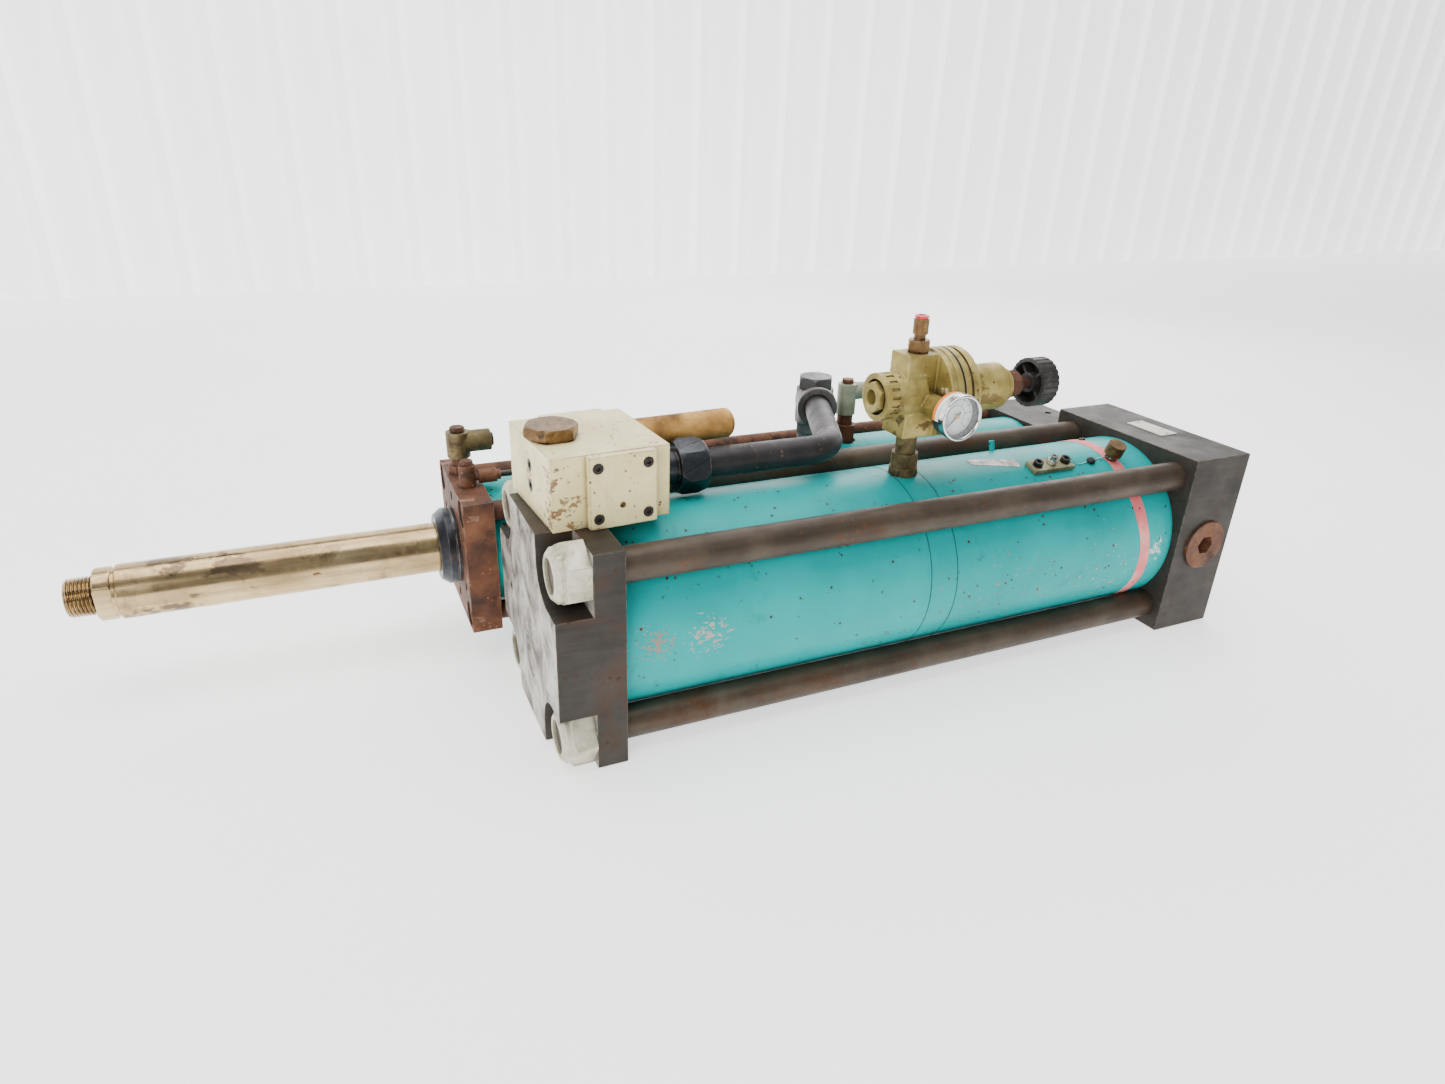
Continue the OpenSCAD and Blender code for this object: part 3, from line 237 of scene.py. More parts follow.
MATERIALS = {
    "teal_paint": aged("Teal paint", (rgb(0, 134, 132), rgb(0, 152, 150), rgb(2, 168, 165)), 5.0,
                       rough=(0.26, 0.42), specks=(rgb(70, 50, 40), 0.35, 150.0),
                       chips=(rgb(86, 62, 50), 0.05, 55.0, 0.3), coat=0.0, bump=(0.06, 180.0),
                       # Its crevices darken to a deeper teal: painted shade.
                       grime=(rgb(0, 122, 118), 0.3, 12.0), dirt_and_shade=(rgb(20, 90, 88), 0.5, 0.006),
                       patches=(((56, -92, 106), 30, rgb(150, 122, 106), 0.9, 330.0),
                                ((104, -92, 104), 32, rgb(176, 160, 148), 0.9, 330.0),
                                ((624, -92, 102), 20, rgb(206, 214, 206), 0.9, 300.0),
                                ((347, -5, 191), 26, rgb(92, 56, 34), 0.9, 150.0),
                                ((430, -170, 60), 134, rgb(150, 128, 112), 0.85, 230.0),
                                ((570, -150, 60), 104, rgb(176, 168, 156), 0.85, 250.0),
                                ((300, -120, 0), 118, rgb(110, 88, 74), 0.85, 210.0)), reflect=0.12),
    "dark_head_steel": aged("Dark head steel", (rgb(44, 41, 38), rgb(56, 52, 48), rgb(72, 67, 61)), 9.0,
                            metallic=0.4, rough=(0.42, 0.62), reflect=0.2,
                            streaks=(rgb(84, 78, 70), 0.25, (0.15, 1, 1)),
                            front=(rgb(78, 68, 58), rgb(190, 186, 178)),
                            grime=(rgb(72, 52, 42), 0.45, 11.0), edge=(rgb(150, 138, 124), 0.7, 0.0016, 0.9),
                            specks=(DARK_RUST, 0.3, 120.0)),
    "oxide_steel": aged("Oxide steel", (rgb(50, 42, 35), rgb(68, 58, 49), rgb(88, 76, 64)), 12.0,
                        metallic=0.4, rough=(0.4, 0.6), reflect=0.25,
                        streaks=(rgb(96, 84, 70), 0.35, (0.06, 1, 1)),
                        grime=(rgb(78, 52, 34), 0.45, 14.0), specks=(rgb(96, 62, 36), 0.4, 170.0)),
    "galvanised_steel": aged("Galvanised steel", (rgb(150, 146, 122), rgb(190, 186, 162), rgb(216, 212, 192)),
                             45.0, metallic=0.35, rough=(0.4, 0.62), grime=(rgb(120, 104, 78), 0.4, 60.0),
                             dirt_and_shade=(rgb(84, 70, 54), 0.7, 0.006), edge=(rgb(236, 232, 216), 0.5, 0.0012, 0.5)),
    "seal_rubber": aged("Nitrile rubber", (rgb(22, 22, 22), rgb(30, 30, 30), rgb(40, 40, 40)), 60.0,
                        rough=(0.55, 0.7)),
    "piston_alloy": aged("Piston alloy", (rgb(170, 170, 174), rgb(186, 186, 190), rgb(204, 204, 207)), 40.0,
                         metallic=1.0, rough=(0.25, 0.4), streaks=(rgb(140, 140, 144), 0.3, (1, 0.2, 0.2))),
    "ground_steel": aged("Ground steel", (rgb(176, 178, 182), rgb(196, 198, 202), rgb(214, 215, 218)), 30.0,
                         metallic=1.0, rough=(0.15, 0.28), streaks=(rgb(150, 150, 154), 0.3, (0.1, 1, 1))),
    "bush_bronze": aged("Bush bronze", (rgb(150, 108, 56), rgb(180, 134, 72), rgb(202, 158, 92)), 40.0,
                        metallic=1.0, rough=(0.25, 0.4)),
    "rusty_steel": aged("Rusty steel", (rgb(66, 42, 32), rgb(98, 62, 44), rgb(126, 84, 58)), 26.0,
                        metallic=0.35, rough=(0.5, 0.75), grime=(rgb(60, 42, 34), 0.5, 38.0),
                        specks=(rgb(150, 92, 54), 0.5, 210.0), edge=(rgb(168, 138, 112), 0.6, 0.0013, 0.7),
                        dirt_and_shade=(SOOT_AND_SHADE, 0.7, 0.006), bump=(0.35, 320.0)),
    "plate_paint": aged("Blank plate", (rgb(186, 182, 164), rgb(206, 203, 188), rgb(222, 220, 208)), 50.0,
                        rough=(0.4, 0.55), specks=(DARK_RUST, 0.5, 300.0), edge=(DARK_RUST, 0.6, 0.0008, 0.2),
                        grime=(rgb(150, 138, 112), 0.4, 70.0)),
    "plug_bronze": aged("Dull bronze", (rgb(84, 60, 38), rgb(118, 90, 58), rgb(150, 120, 80)), 60.0,
                        metallic=0.8, rough=(0.35, 0.55), grime=(rgb(66, 50, 36), 0.5, 60.0),
                        edge=(rgb(190, 158, 110), 0.7, 0.001, 1.0), dirt_and_shade=(SOOT_AND_SHADE, 0.7, 0.005)),
    "olive_paint": aged("Dirty olive", (rgb(104, 100, 72), rgb(136, 132, 98), rgb(166, 162, 130)), 70.0,
                        metallic=0.3, rough=(0.45, 0.6), dirt_and_shade=(SOOT_AND_SHADE, 0.8, 0.003),
                        edge=(rgb(186, 180, 150), 0.6, 0.0008, 0.5)),
    "bright_chrome": aged("Bright plating", (rgb(176, 174, 170), rgb(206, 205, 202), rgb(228, 228, 226)),
                          90.0, metallic=1.0, rough=(0.1, 0.25), dirt_and_shade=(rgb(90, 80, 66), 0.6, 0.002)),
    "black_screw_steel": aged("Black screw steel", (rgb(34, 32, 31), rgb(50, 47, 45), rgb(70, 66, 62)), 120.0,
                              metallic=0.7, rough=(0.35, 0.5), dirt_and_shade=(rgb(58, 40, 30), 0.6, 0.003),
                              edge=(rgb(120, 112, 102), 0.5, 0.0006, 0.9)),
    "burnished_steel": aged("Burnished steel", (rgb(38, 39, 42), rgb(58, 60, 64), rgb(92, 95, 99)), 30.0,
                        metallic=0.8, rough=(0.25, 0.45), grime=(rgb(62, 54, 50), 0.4, 40.0),
                        edge=(rgb(196, 190, 182), 0.85, 0.0016, 1.0), dirt_and_shade=(SOOT_AND_SHADE, 0.6, 0.004)),
    "rod_chrome": aged("Hard chrome", (rgb(158, 132, 96), rgb(194, 168, 122), rgb(222, 200, 156)), 12.0,
                       metallic=1.0, rough=(0.14, 0.3), streaks=(rgb(104, 84, 64), 0.6, (0.05, 1, 1)),
                       grime=(rgb(112, 88, 66), 0.5, 16.0), bump=(0.05, 500.0),
                       dirt_and_shade=(rgb(92, 78, 48), 0.8, 0.004),
                       # The first two patches, dark brown on the rod's upper near side, are a stain and a
                       # painted dark reflection.
                       patches=(((-325, 160, 122), 62, rgb(70, 54, 48), 0.75, 22.0),
                                ((-270, 158, 121), 52, rgb(88, 70, 60), 0.65, 28.0),
                                ((-196, 152, 98), 7, rgb(84, 52, 30), 0.9, 160.0),
                                ((-110, 154, 112), 26, rgb(110, 84, 60), 0.5, 60.0),
                                ((-368, 160, 112), 18, rgb(120, 110, 62), 0.7, 60.0))),
    "cream_paint": aged("Cream paint", (rgb(206, 190, 130), rgb(228, 214, 154), rgb(240, 230, 180)), 18.0,
                        rough=(0.35, 0.52), chips=(rgb(96, 66, 48), 0.12, 48.0, 0.2), coat=0.15,
                        edge=(rgb(104, 68, 46), 0.95, 0.0024, 0.2), dirt_and_shade=(rgb(100, 72, 48), 0.85, 0.006),
                        specks=(rgb(110, 76, 52), 0.5, 190.0), grime=(rgb(206, 188, 140), 0.35, 30.0),
                        patches=(((-20, -46, 244), 20, rgb(112, 66, 34), 0.9, 190.0),
                                 ((-21, -46, 210), 26, rgb(104, 60, 32), 0.9, 200.0),
                                 ((-8, -50, 220), 30, rgb(118, 70, 38), 0.85, 170.0),
                                 ((-22, 6, 232), 16, rgb(112, 66, 36), 0.85, 210.0))),
    "sintered_bronze": aged("Sintered bronze", (rgb(120, 86, 46), rgb(186, 142, 78), rgb(220, 178, 104)),
                            34.0, metallic=0.55, rough=(0.6, 0.8), bump=(0.7, 900.0),
                            grime=(rgb(84, 60, 40), 0.4, 30.0)),
    "pipe_steel": aged("Charcoal pipe", (rgb(40, 37, 38), rgb(54, 51, 52), rgb(74, 70, 70)), 20.0,
                       metallic=0.45, rough=(0.4, 0.58), grime=(rgb(70, 58, 50), 0.35, 30.0),
                       specks=(rgb(100, 80, 64), 0.35, 200.0)),
    "elbow_iron": aged("Cast elbow", (rgb(66, 62, 62), rgb(90, 86, 86), rgb(118, 113, 112)), 26.0,
                       metallic=0.55, rough=(0.36, 0.55), bump=(0.3, 260.0),
                       edge=(rgb(130, 122, 118), 0.5, 0.0014, 0.8), dirt_and_shade=(rgb(58, 42, 34), 0.6, 0.006)),
    "aged_brass": aged("Aged brass", (rgb(76, 66, 44), rgb(108, 94, 62), rgb(140, 124, 84)), 50.0,
                       metallic=0.55, rough=(0.45, 0.65), grime=(rgb(70, 54, 38), 0.5, 50.0),
                       edge=(rgb(176, 156, 108), 0.7, 0.0012, 0.9), dirt_and_shade=(SOOT_AND_SHADE, 0.75, 0.005)),
    "sage_paint": aged("Sage fitting", (rgb(128, 132, 110), rgb(152, 157, 134), rgb(176, 180, 158)), 50.0,
                       metallic=0.2, rough=(0.4, 0.55), edge=(rgb(110, 96, 70), 0.7, 0.001, 0.5),
                       dirt_and_shade=(rgb(70, 62, 46), 0.7, 0.004), grime=(rgb(120, 112, 84), 0.3, 60.0)),
    "black_plastic": aged("Black moulding", (rgb(30, 29, 28), rgb(42, 40, 38), rgb(58, 55, 52)), 60.0,
                          rough=(0.42, 0.6), grime=(rgb(76, 68, 60), 0.3, 50.0), bump=(0.12, 900.0),
                          edge=(rgb(80, 76, 72), 0.4, 0.0007, 0.0)),
    "black_tube": aged("Nylon tube", (rgb(22, 22, 23), rgb(30, 30, 31), rgb(40, 40, 41)), 60.0,
                       rough=(0.32, 0.45), grime=(rgb(60, 54, 46), 0.25, 60.0)),
    "regulator_brass": aged("Regulator brass", (rgb(124, 106, 52), rgb(160, 142, 78), rgb(192, 176, 112)),
                            30.0, metallic=0.45, rough=(0.42, 0.62), grime=(rgb(104, 84, 50), 0.42, 34.0),
                            edge=(rgb(206, 188, 134), 0.75, 0.0013, 0.8), dirt_and_shade=(rgb(48, 38, 24), 0.85, 0.007),
                            specks=(rgb(96, 72, 40), 0.3, 160.0), bump=(0.3, 300.0),
                            patches=(((350, -36, 284), 30, rgb(240, 228, 196), 0.95, 50.0),
                                     ((372, -34, 276), 20, rgb(240, 228, 196), 0.95, 90.0),
                                     # The next two spots, dark brown over the lower block, are painted
                                     # shadow.
                                     ((356, -30, 240), 36, rgb(80, 52, 28), 0.85, 60.0),
                                     ((334, -20, 240), 34, rgb(84, 54, 30), 0.85, 70.0),
                                     ((420, -30, 270), 40, rgb(92, 68, 34), 0.7, 50.0),
                                     ((318, -24, 262), 18, rgb(96, 72, 36), 0.7, 110.0))),
    "red_plastic": aged("Red moulding", (rgb(196, 26, 36), rgb(222, 36, 48), rgb(236, 60, 68)), 80.0,
                        rough=(0.3, 0.42), coat=0.3),
    "gauge_black": aged("Gauge black", (rgb(24, 24, 26), rgb(34, 34, 36), rgb(48, 48, 50)), 60.0,
                        rough=(0.28, 0.42), coat=0.3, grime=(rgb(60, 54, 48), 0.2, 50.0)),
}

# ---------------------------------------------------------------- mesh tools
def finish_mesh(mesh, sharp=38.0):
    """Smooth shading, with edges over that angle kept sharp."""
    bm = bmesh.new()
    bm.from_mesh(mesh)
    for face in bm.faces:
        face.smooth = True
    for edge in bm.edges:
        edge.smooth = not (len(edge.link_faces) == 2 and edge.calc_face_angle(0.0) > math.radians(sharp))
    bm.to_mesh(mesh)
    bm.free()


def piece(name, mesh, material, body, slot, sharp=38.0):
    """New object from a mesh in the row frame, riding on a body."""
    finish_mesh(mesh, sharp)
    obj = bpy.data.objects.new(name, mesh)
    bpy.context.collection.objects.link(obj)
    mesh.materials.clear()
    mesh.materials.append(material)
    normals = obj.modifiers.new("Face weighted normals", "WEIGHTED_NORMAL")
    normals.keep_sharp = True
    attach(obj, body)
    return obj


def baked(raw):
    """Mesh of an object with its modifiers or curve applied; the object goes."""
    bpy.context.collection.objects.link(raw)
    bpy.context.view_layer.update()
    mesh = bpy.data.meshes.new_from_object(raw.evaluated_get(bpy.context.evaluated_depsgraph_get()))
    bpy.data.objects.remove(raw)
    return mesh


BEVEL_STEPS, BEVEL_LEAST = 2, 30.0  # segments, and the smallest edge angle that is rounded, degrees


def machined(node, width):
    """Copy of a CAD node with its facets merged and its edges rounded by width, mm."""
    bm = bmesh.new()
    bm.from_mesh(frame["nodes"][node].data)
    bmesh.ops.remove_doubles(bm, verts=bm.verts, dist=0.002 * MM)
    bmesh.ops.dissolve_limit(bm, angle_limit=math.radians(0.6), verts=bm.verts, edges=bm.edges)
    sharp = [e for e in bm.edges
             if len(e.link_faces) == 2 and e.calc_face_angle(0.0) > math.radians(BEVEL_LEAST)]
    bmesh.ops.bevel(bm, geom=sharp, offset=width * MM, offset_type="OFFSET", segments=BEVEL_STEPS,
                    profile=0.6, affect="EDGES", clamp_overlap=False)
    mesh = bpy.data.meshes.new(node + "_fine")
    bm.to_mesh(mesh)
    bm.free()
    slot = SLOT_OF[node]
    obj = piece(node + "_fine", mesh, MATERIALS[slot], BODY_OF[node], slot)
    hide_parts(node)
    return obj


def cast(node, voxel, rounds):
    """Copy of a CAD node with every edge rounded over, as a casting or moulding has."""
    slot = SLOT_OF[node]
    mesh = frame["nodes"][node].data.copy()
    raw = bpy.data.objects.new(node + "_raw", mesh)
    weld = raw.modifiers.new("Weld", "WELD")
    weld.merge_threshold = 0.002 * MM
    remesh = raw.modifiers.new("Remesh", "REMESH")
    remesh.mode = "VOXEL"
    remesh.voxel_size = voxel * MM
    smooth = raw.modifiers.new("Smooth", "SMOOTH")
    smooth.factor = 0.5
    smooth.iterations = rounds
    obj = piece(node + "_cast", baked(raw), MATERIALS[slot], BODY_OF[node], slot, sharp=80.0)
    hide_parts(node)
    return obj


# Edge rounding of every node that shows, mm
ROUNDED = {
    "booster_front_head": 1.2, "booster_rear_head": 1.2, "working_rear_head": 1.0, "head_spacers": 0.8,
    "booster_front_tube": 0.6, "partition_ring": 0.6, "booster_rear_tube": 0.5,
    "working_front_tube": 0.6, "working_mid_ring": 0.5, "working_rear_tube": 0.6,
    "booster_tie_rods": 0.8, "tie_rod_nuts": 0.7, "rear_port_plug": 0.8, "name_plate": 0.2,
    "filler_plug": 0.6, "port_strip": 0.5, "test_nipple": 0.2, "socket_screws": 0.25,
    "gland_nose": 0.4, "working_tie_bolts": 0.6,
    "valve_body": 0.9, "spool_covers": 0.6, "cap_plug": 0.5, "muffler": 0.3, "pipe_nut": 0.7,
    "elbow_plug": 0.6, "elbow_bolts": 0.4, "head_elbow": 0.6, "head_elbow_collar": 0.2,
    "banjo_elbow": 0.3, "tube_elbow": 0.6, "tube_elbow_collar": 0.2,
    "ring_nut": 0.3, "inlet_plug": 0.4, "bonnet": 0.5, "adjusting_screw": 0.4, "handwheel": 0.3,
    "riser": 0.4, "outlet_fitting": 0.3, "push_collar": 0.3, "gauge_case": 0.4,
}
for node, width in ROUNDED.items():
    machined(node, width)
cast("pipe_elbow", 0.8, 12)
cast("regulator_body", 0.7, 8)
for node, obj in frame["nodes"].items():
    if node not in ROUNDED and node not in ("pipe_elbow", "regulator_body"):
        for place in obj.material_slots:
            place.material = MATERIALS[SLOT_OF[node]]

# ---------------------------------------------------------------- shapes
def skin(name, rings, loop=False):
    """Mesh from closed rings of points, mm. Its ends are capped unless the last joins the first."""
    bm = bmesh.new()
    made = [[bm.verts.new(Vector(point) * MM) for point in ring] for ring in rings]
    count = len(made[0])
    for k in range(len(made) if loop else len(made) - 1):
        here, there = made[k], made[(k + 1) % len(made)]
        for i in range(count):
            j = (i + 1) % count
            bm.faces.new((here[i], here[j], there[j], there[i]))
    if not loop:
        bm.faces.new(reversed(made[0]))
        bm.faces.new(made[-1])
    bmesh.ops.recalc_face_normals(bm, faces=bm.faces)
    mesh = bpy.data.meshes.new(name)
    bm.to_mesh(mesh)
    bm.free()
    return mesh


def lathe(name, profile, place, steps=72, loop=False):
    """Solid of revolution about place's Z axis, from (height, radius) pairs in mm."""
    rings = []
    for height, radius in profile:
        angles = [2 * math.pi * i / steps for i in range(steps)]
        rings.append([place @ Vector((radius * math.cos(a), radius * math.sin(a), height)) for a in angles])
    return skin(name, rings, loop)


def on_tube(x, tilt, height=0.0):
    """Frame on the intensifier's tube: Z leaves its axis, leaning to -Y by tilt degrees."""
    return (Matrix.Translation((x, 0.0, AXIS_Z)) @ Matrix.Rotation(math.radians(tilt), 4, "X")
            @ Matrix.Translation((0.0, 0.0, height)))


def wrapped(x, across, height):
    """Point on the intensifier's tube, across mm round it from the top towards -Y."""
    angle = across / TUBE_R
    reach = TUBE_R + height
    return (x, -reach * math.sin(angle), AXIS_Z + reach * math.cos(angle))


def ripple(value, seed):
    """Smooth repeatable wobble between -1 and 1."""
    return (math.sin(value * 1.7 + seed) + math.sin(value * 4.1 + seed * 2.3) * 0.5
            + math.sin(value * 9.7 + seed * 0.7) * 0.3) / 1.8


def smoothstep(value, low, high):
    share = min(max((value - low) / (high - low), 0.0), 1.0)
    return share * share * (3 - 2 * share)


# ---------------------------------------------------------------- piston rod
ROD_TIP, ROD_THREAD, ROD_FLATS, ROD_NECK, ROD_BACK, ROD_TAIL = -398.0, -375.0, -361.0, -358.0, -30.0, 24.0
PITCH_MM, THREAD_DEEP = 3.0, 1.7
THREAD_R, TIP_R, FLATS_R, FLATS_HALF, NECK_R, BAR_R, TAIL_R = 18.0, 15.6, 22.8, 20.0, 22.5, 25.0, 15.0
CHAMFER = 1.2


def rod_radius(x, angle, region):
    """Radius of the rod's surface at x, angle radians round from +Y, in one of its regions."""
    if region == "thread":
        phase = ((x - ROD_TIP) / PITCH_MM - angle / (2 * math.pi)) % 1.0
        ridge = THREAD_R - THREAD_DEEP * min(1.0, abs(2 * phase - 1) * 1.25)
        return min(ridge, TIP_R + (x - ROD_TIP))
    if region == "flats":
        edge = min(x - ROD_THREAD, ROD_FLATS - x, CHAMFER)
        return min(FLATS_R + edge, FLATS_HALF / max(abs(math.cos(angle)), 1e-6))
    if region == "neck":
        return NECK_R
    if region == "bar":
        return min(BAR_R, BAR_R - CHAMFER + (x - ROD_NECK))
    return TAIL_R


def rod_rings():
    steps = 120
    stations = [(ROD_TIP + 3.0, 0.02, None), (ROD_TIP + 3.0, 4.0, None), (ROD_TIP + 0.02, 8.0, None)]
    stations += [(ROD_TIP + 0.25 * i, None, "thread") for i in range(int((ROD_THREAD - ROD_TIP) * 4) + 1)]
    stations += [(ROD_THREAD + d, None, "flats") for d in (0.0, 0.6, 1.2, 7.0, 12.8, 13.4, 14.0)]
    stations += [(ROD_FLATS + d, None, "neck") for d in (0.0, 1.5, 3.0)]
    stations += [(ROD_NECK + d, None, "bar") for d in (0.0, 0.6, 1.2, 110.0, 220.0, 325.0)]
    stations += [(ROD_BACK, None, "tail"), (ROD_TAIL, None, "tail"), (ROD_TAIL, 0.02, None)]
    for x, fixed, region in stations:
        ring = []
        for i in range(steps):
            angle = 2 * math.pi * i / steps
            radius = fixed if region is None else rod_radius(x, angle, region)
            ring.append((x, RAM_Y + radius * math.cos(angle), AXIS_Z + radius * math.sin(angle)))
        yield ring


rod = piece("piston_rod_fine", skin("piston_rod_fine", list(rod_rings())), MATERIALS["rod_chrome"],
            "ram", "rod_chrome", sharp=28.0)
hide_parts("piston_rod")

# The regulator's spring, as a piece with its own copy of the CAD mesh
SPRING, SPRING_END, SPRING_KEEP = "regulator_spring", 378.5, 0.9
coil_mesh = frame["nodes"][SPRING].data.copy()
coil_mesh.materials.clear()
coil = piece(SPRING + "_fine", coil_mesh, MATERIALS[SLOT_OF[SPRING]], BODY_OF[SPRING], SLOT_OF[SPRING])
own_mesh(coil)
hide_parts(SPRING)

# ---------------------------------------------------------------- rear tube's trim
SEAM = aged("Open seam", (rgb(20, 50, 50), rgb(24, 60, 60), rgb(30, 70, 70)), 40.0, rough=(0.7, 0.8))
SEAM_SECTION = ((-0.4, -0.5), (-0.4, 0.12), (0.4, 0.12), (0.4, -0.5))
for number, x in enumerate((332.0, 362.0), 1):
    name = f"tube_seam_{number}"
    around = Matrix.Translation((x, 0.0, AXIS_Z)) @ Matrix.Rotation(math.radians(90), 4, "Y")
    profile = [(along, TUBE_R + rise) for along, rise in SEAM_SECTION]
    piece(name, lathe(name, profile, around, 160, loop=True), SEAM, "cylinder", "teal_paint")

TAPE = aged("Salmon tape", (rgb(206, 96, 100), rgb(230, 122, 122), rgb(240, 164, 156)), 22.0,
            rough=(0.5, 0.65), grime=(rgb(190, 128, 116), 0.35, 40.0), specks=(rgb(96, 60, 50), 0.4, 170.0))


def tape_rings():
    steps = 160
    for i in range(steps):
        angle = 2 * math.pi * i / steps
        near = angle if angle < math.pi else 0.0
        drift = 19.0 * smoothstep(near, 0.6, 2.2)
        start = 589.0 + drift + 0.7 * ripple(angle * 3, 1.0)
        end = 604.0 + drift * 0.9 + 0.7 * ripple(angle * 3, 4.0)
        section = ((start, -0.3), (start, 0.3), (end, 0.3), (end, -0.3))
        yield [wrapped(x, angle * TUBE_R, h) for x, h in section]


piece("marking_tape", skin("marking_tape", list(tape_rings()), loop=True), TAPE, "cylinder", "teal_paint")

LABEL = aged("Worn foil label", (rgb(96, 94, 88), rgb(176, 174, 166), rgb(236, 234, 228)), 90.0,
             metallic=0.2, rough=(0.35, 0.6), specks=(rgb(52, 46, 40), 0.95, 330.0),
             edge=(rgb(70, 62, 52), 0.7, 0.0006, 0.3), bump=(0.5, 500.0),
             patches=(((482, -22, 190), 9, rgb(30, 30, 30), 0.9, 260.0),
                      ((429, -5, 191), 7, rgb(40, 38, 36), 0.9, 260.0)))


def label_rings():
    """A foil strip, narrower at its front end, with ragged edges."""
    centre_x, centre_across, turn = 455.0, 12.0, math.radians(16.5)
    for i in range(57):
        along = -28.0 + i
        half = 6.2 + 1.2 * smoothstep(along, -28.0, -14.0) - 4.0 * smoothstep(along, 25.0, 28.0)
        low = -half + 0.5 * ripple(along * 0.7, 2.0)
        high = half * 0.9 + 0.5 * ripple(along * 0.8, 5.0)
        ring = []
        for v, h in ((low, -0.2), (low, 0.35), (0.0, 0.45), (high, 0.35), (high, -0.2)):
            x = centre_x + along * math.cos(turn) - v * math.sin(turn)
            across = centre_across + along * math.sin(turn) + v * math.cos(turn)
            ring.append(wrapped(x, across, h))
        yield ring


piece("worn_label", skin("worn_label", list(label_rings())), LABEL, "cylinder", "bright_chrome")
SCREW_PROFILE = ((-1, 3.4), (1.3, 3.4), (2.2, 2.8), (2.5, 1.8), (1.3, 1.6), (1.3, 0.02))
piece("tube_screw", lathe("tube_screw", SCREW_PROFILE, on_tube(605.0, -12.0, TUBE_R), 32),
      MATERIALS["black_screw_steel"], "cylinder", "black_screw_steel")
LEAD = aged("Lead bead", (rgb(30, 28, 28), rgb(44, 42, 42), rgb(66, 64, 62)), 120.0,
            metallic=0.5, rough=(0.5, 0.7))
BEAD_PROFILE = ((0.0, 2.6), (0.5, 3.9), (1.8, 4.7), (3.2, 4.6), (4.4, 3.6), (4.9, 1.8))
piece("lead_bead", lathe("lead_bead", BEAD_PROFILE, on_tube(567.0, 21.0, TUBE_R), 28), LEAD,
      "cylinder", "black_screw_steel", sharp=60.0)


def wire(name, points, radius, material, body, slot):
    """Round wire through points in mm, as a mesh swept along a smooth curve."""
    data = bpy.data.curves.new(name + "_path", "CURVE")
    data.dimensions = "3D"
    data.bevel_depth = radius * MM
    data.bevel_resolution = 3
    data.resolution_u = 8
    data.use_fill_caps = True
    spline = data.splines.new("NURBS")
    spline.points.add(len(points) - 1)
    for point, at in zip(spline.points, points):
        point.co = (*(Vector(at) * MM), 1.0)
    spline.order_u = 3
    spline.use_endpoint_u = True
    mesh = baked(bpy.data.objects.new(name + "_path", data))
    return piece(name, mesh, material, body, slot, sharp=70.0)


def tube_points(stations):
    return [tuple(on_tube(x, tilt, height) @ Vector((0, 0, 0))) for x, tilt, height in stations]


def round_neck(x, tilt, height, radius, start, end, steps):
    """Points round a stem that stands on the tube, angles in degrees."""
    place = on_tube(x, tilt, height)
    for i in range(steps + 1):
        a = math.radians(start + (end - start) * i / steps)
        yield tuple(place @ Vector((radius * math.cos(a), radius * math.sin(a), 0.3 * i / steps)))


WIRE_R = 0.45
# (x, tilt in degrees, distance from the axis): strip to bead, then bead to the plug's neck
TO_BEAD = ((533, 21, 97.6), (538, 21.5, 98.0), (545, 22.5, 94.0), (555, 22.0, 93.0), (562, 21.0, 93.6),
           (567, 21.0, 94.2))
TO_PLUG = ((567, 21.0, 94.2), (573, 20.4, 93.4), (580, 19.0, 93.0), (586, 19.6, 94.6))
plug_loop = list(round_neck(597, FITTING_TILT, 95.4, 7.2, 180, 520, 14))
for name, points in (("lock_wire_front", tube_points(TO_BEAD)),
                     ("lock_wire_rear", tube_points(TO_PLUG) + plug_loop)):
    wire(name, points, WIRE_R, MATERIALS["ground_steel"], "cylinder", "ground_steel")

# ---------------------------------------------------------------- gauge
GAUGE_SCALE = 0.834  # the gauge below is drawn for a case of 51.8 mm
GAUGE_PLACE = (Matrix.Translation(GAUGE) @ Matrix.Rotation(math.radians(90), 4, "X")
               @ Matrix.Diagonal((GAUGE_SCALE, GAUGE_SCALE, 1.0, 1.0)))
DIAL_WHITE = aged("Dial white", (rgb(226, 228, 226), rgb(238, 240, 238), rgb(246, 247, 246)), 40.0,
                  rough=(0.4, 0.5))
DIAL_INK = aged("Dial ink", (rgb(30, 34, 40), rgb(38, 42, 48), rgb(48, 52, 58)), 60.0, rough=(0.45, 0.55))
DIAL_BLUE = aged("Dial blue", (rgb(90, 150, 200), rgb(110, 168, 214), rgb(136, 186, 224)), 60.0,
                 rough=(0.45, 0.55))
ORANGE = aged("Orange band", (rgb(226, 110, 20), rgb(240, 130, 34), rgb(246, 150, 60)), 60.0,
              rough=(0.4, 0.55), grime=(rgb(150, 90, 40), 0.3, 90.0))
WHITE_BAND = aged("White band", (rgb(226, 222, 212), rgb(238, 235, 228), rgb(246, 244, 240)), 60.0,
                  rough=(0.4, 0.55), grime=(rgb(190, 176, 150), 0.35, 80.0))
HUB_BRASS = aged("Hub brass", (rgb(150, 120, 60), rgb(184, 152, 84), rgb(210, 180, 112)), 80.0,
                 metallic=1.0, rough=(0.25, 0.4))

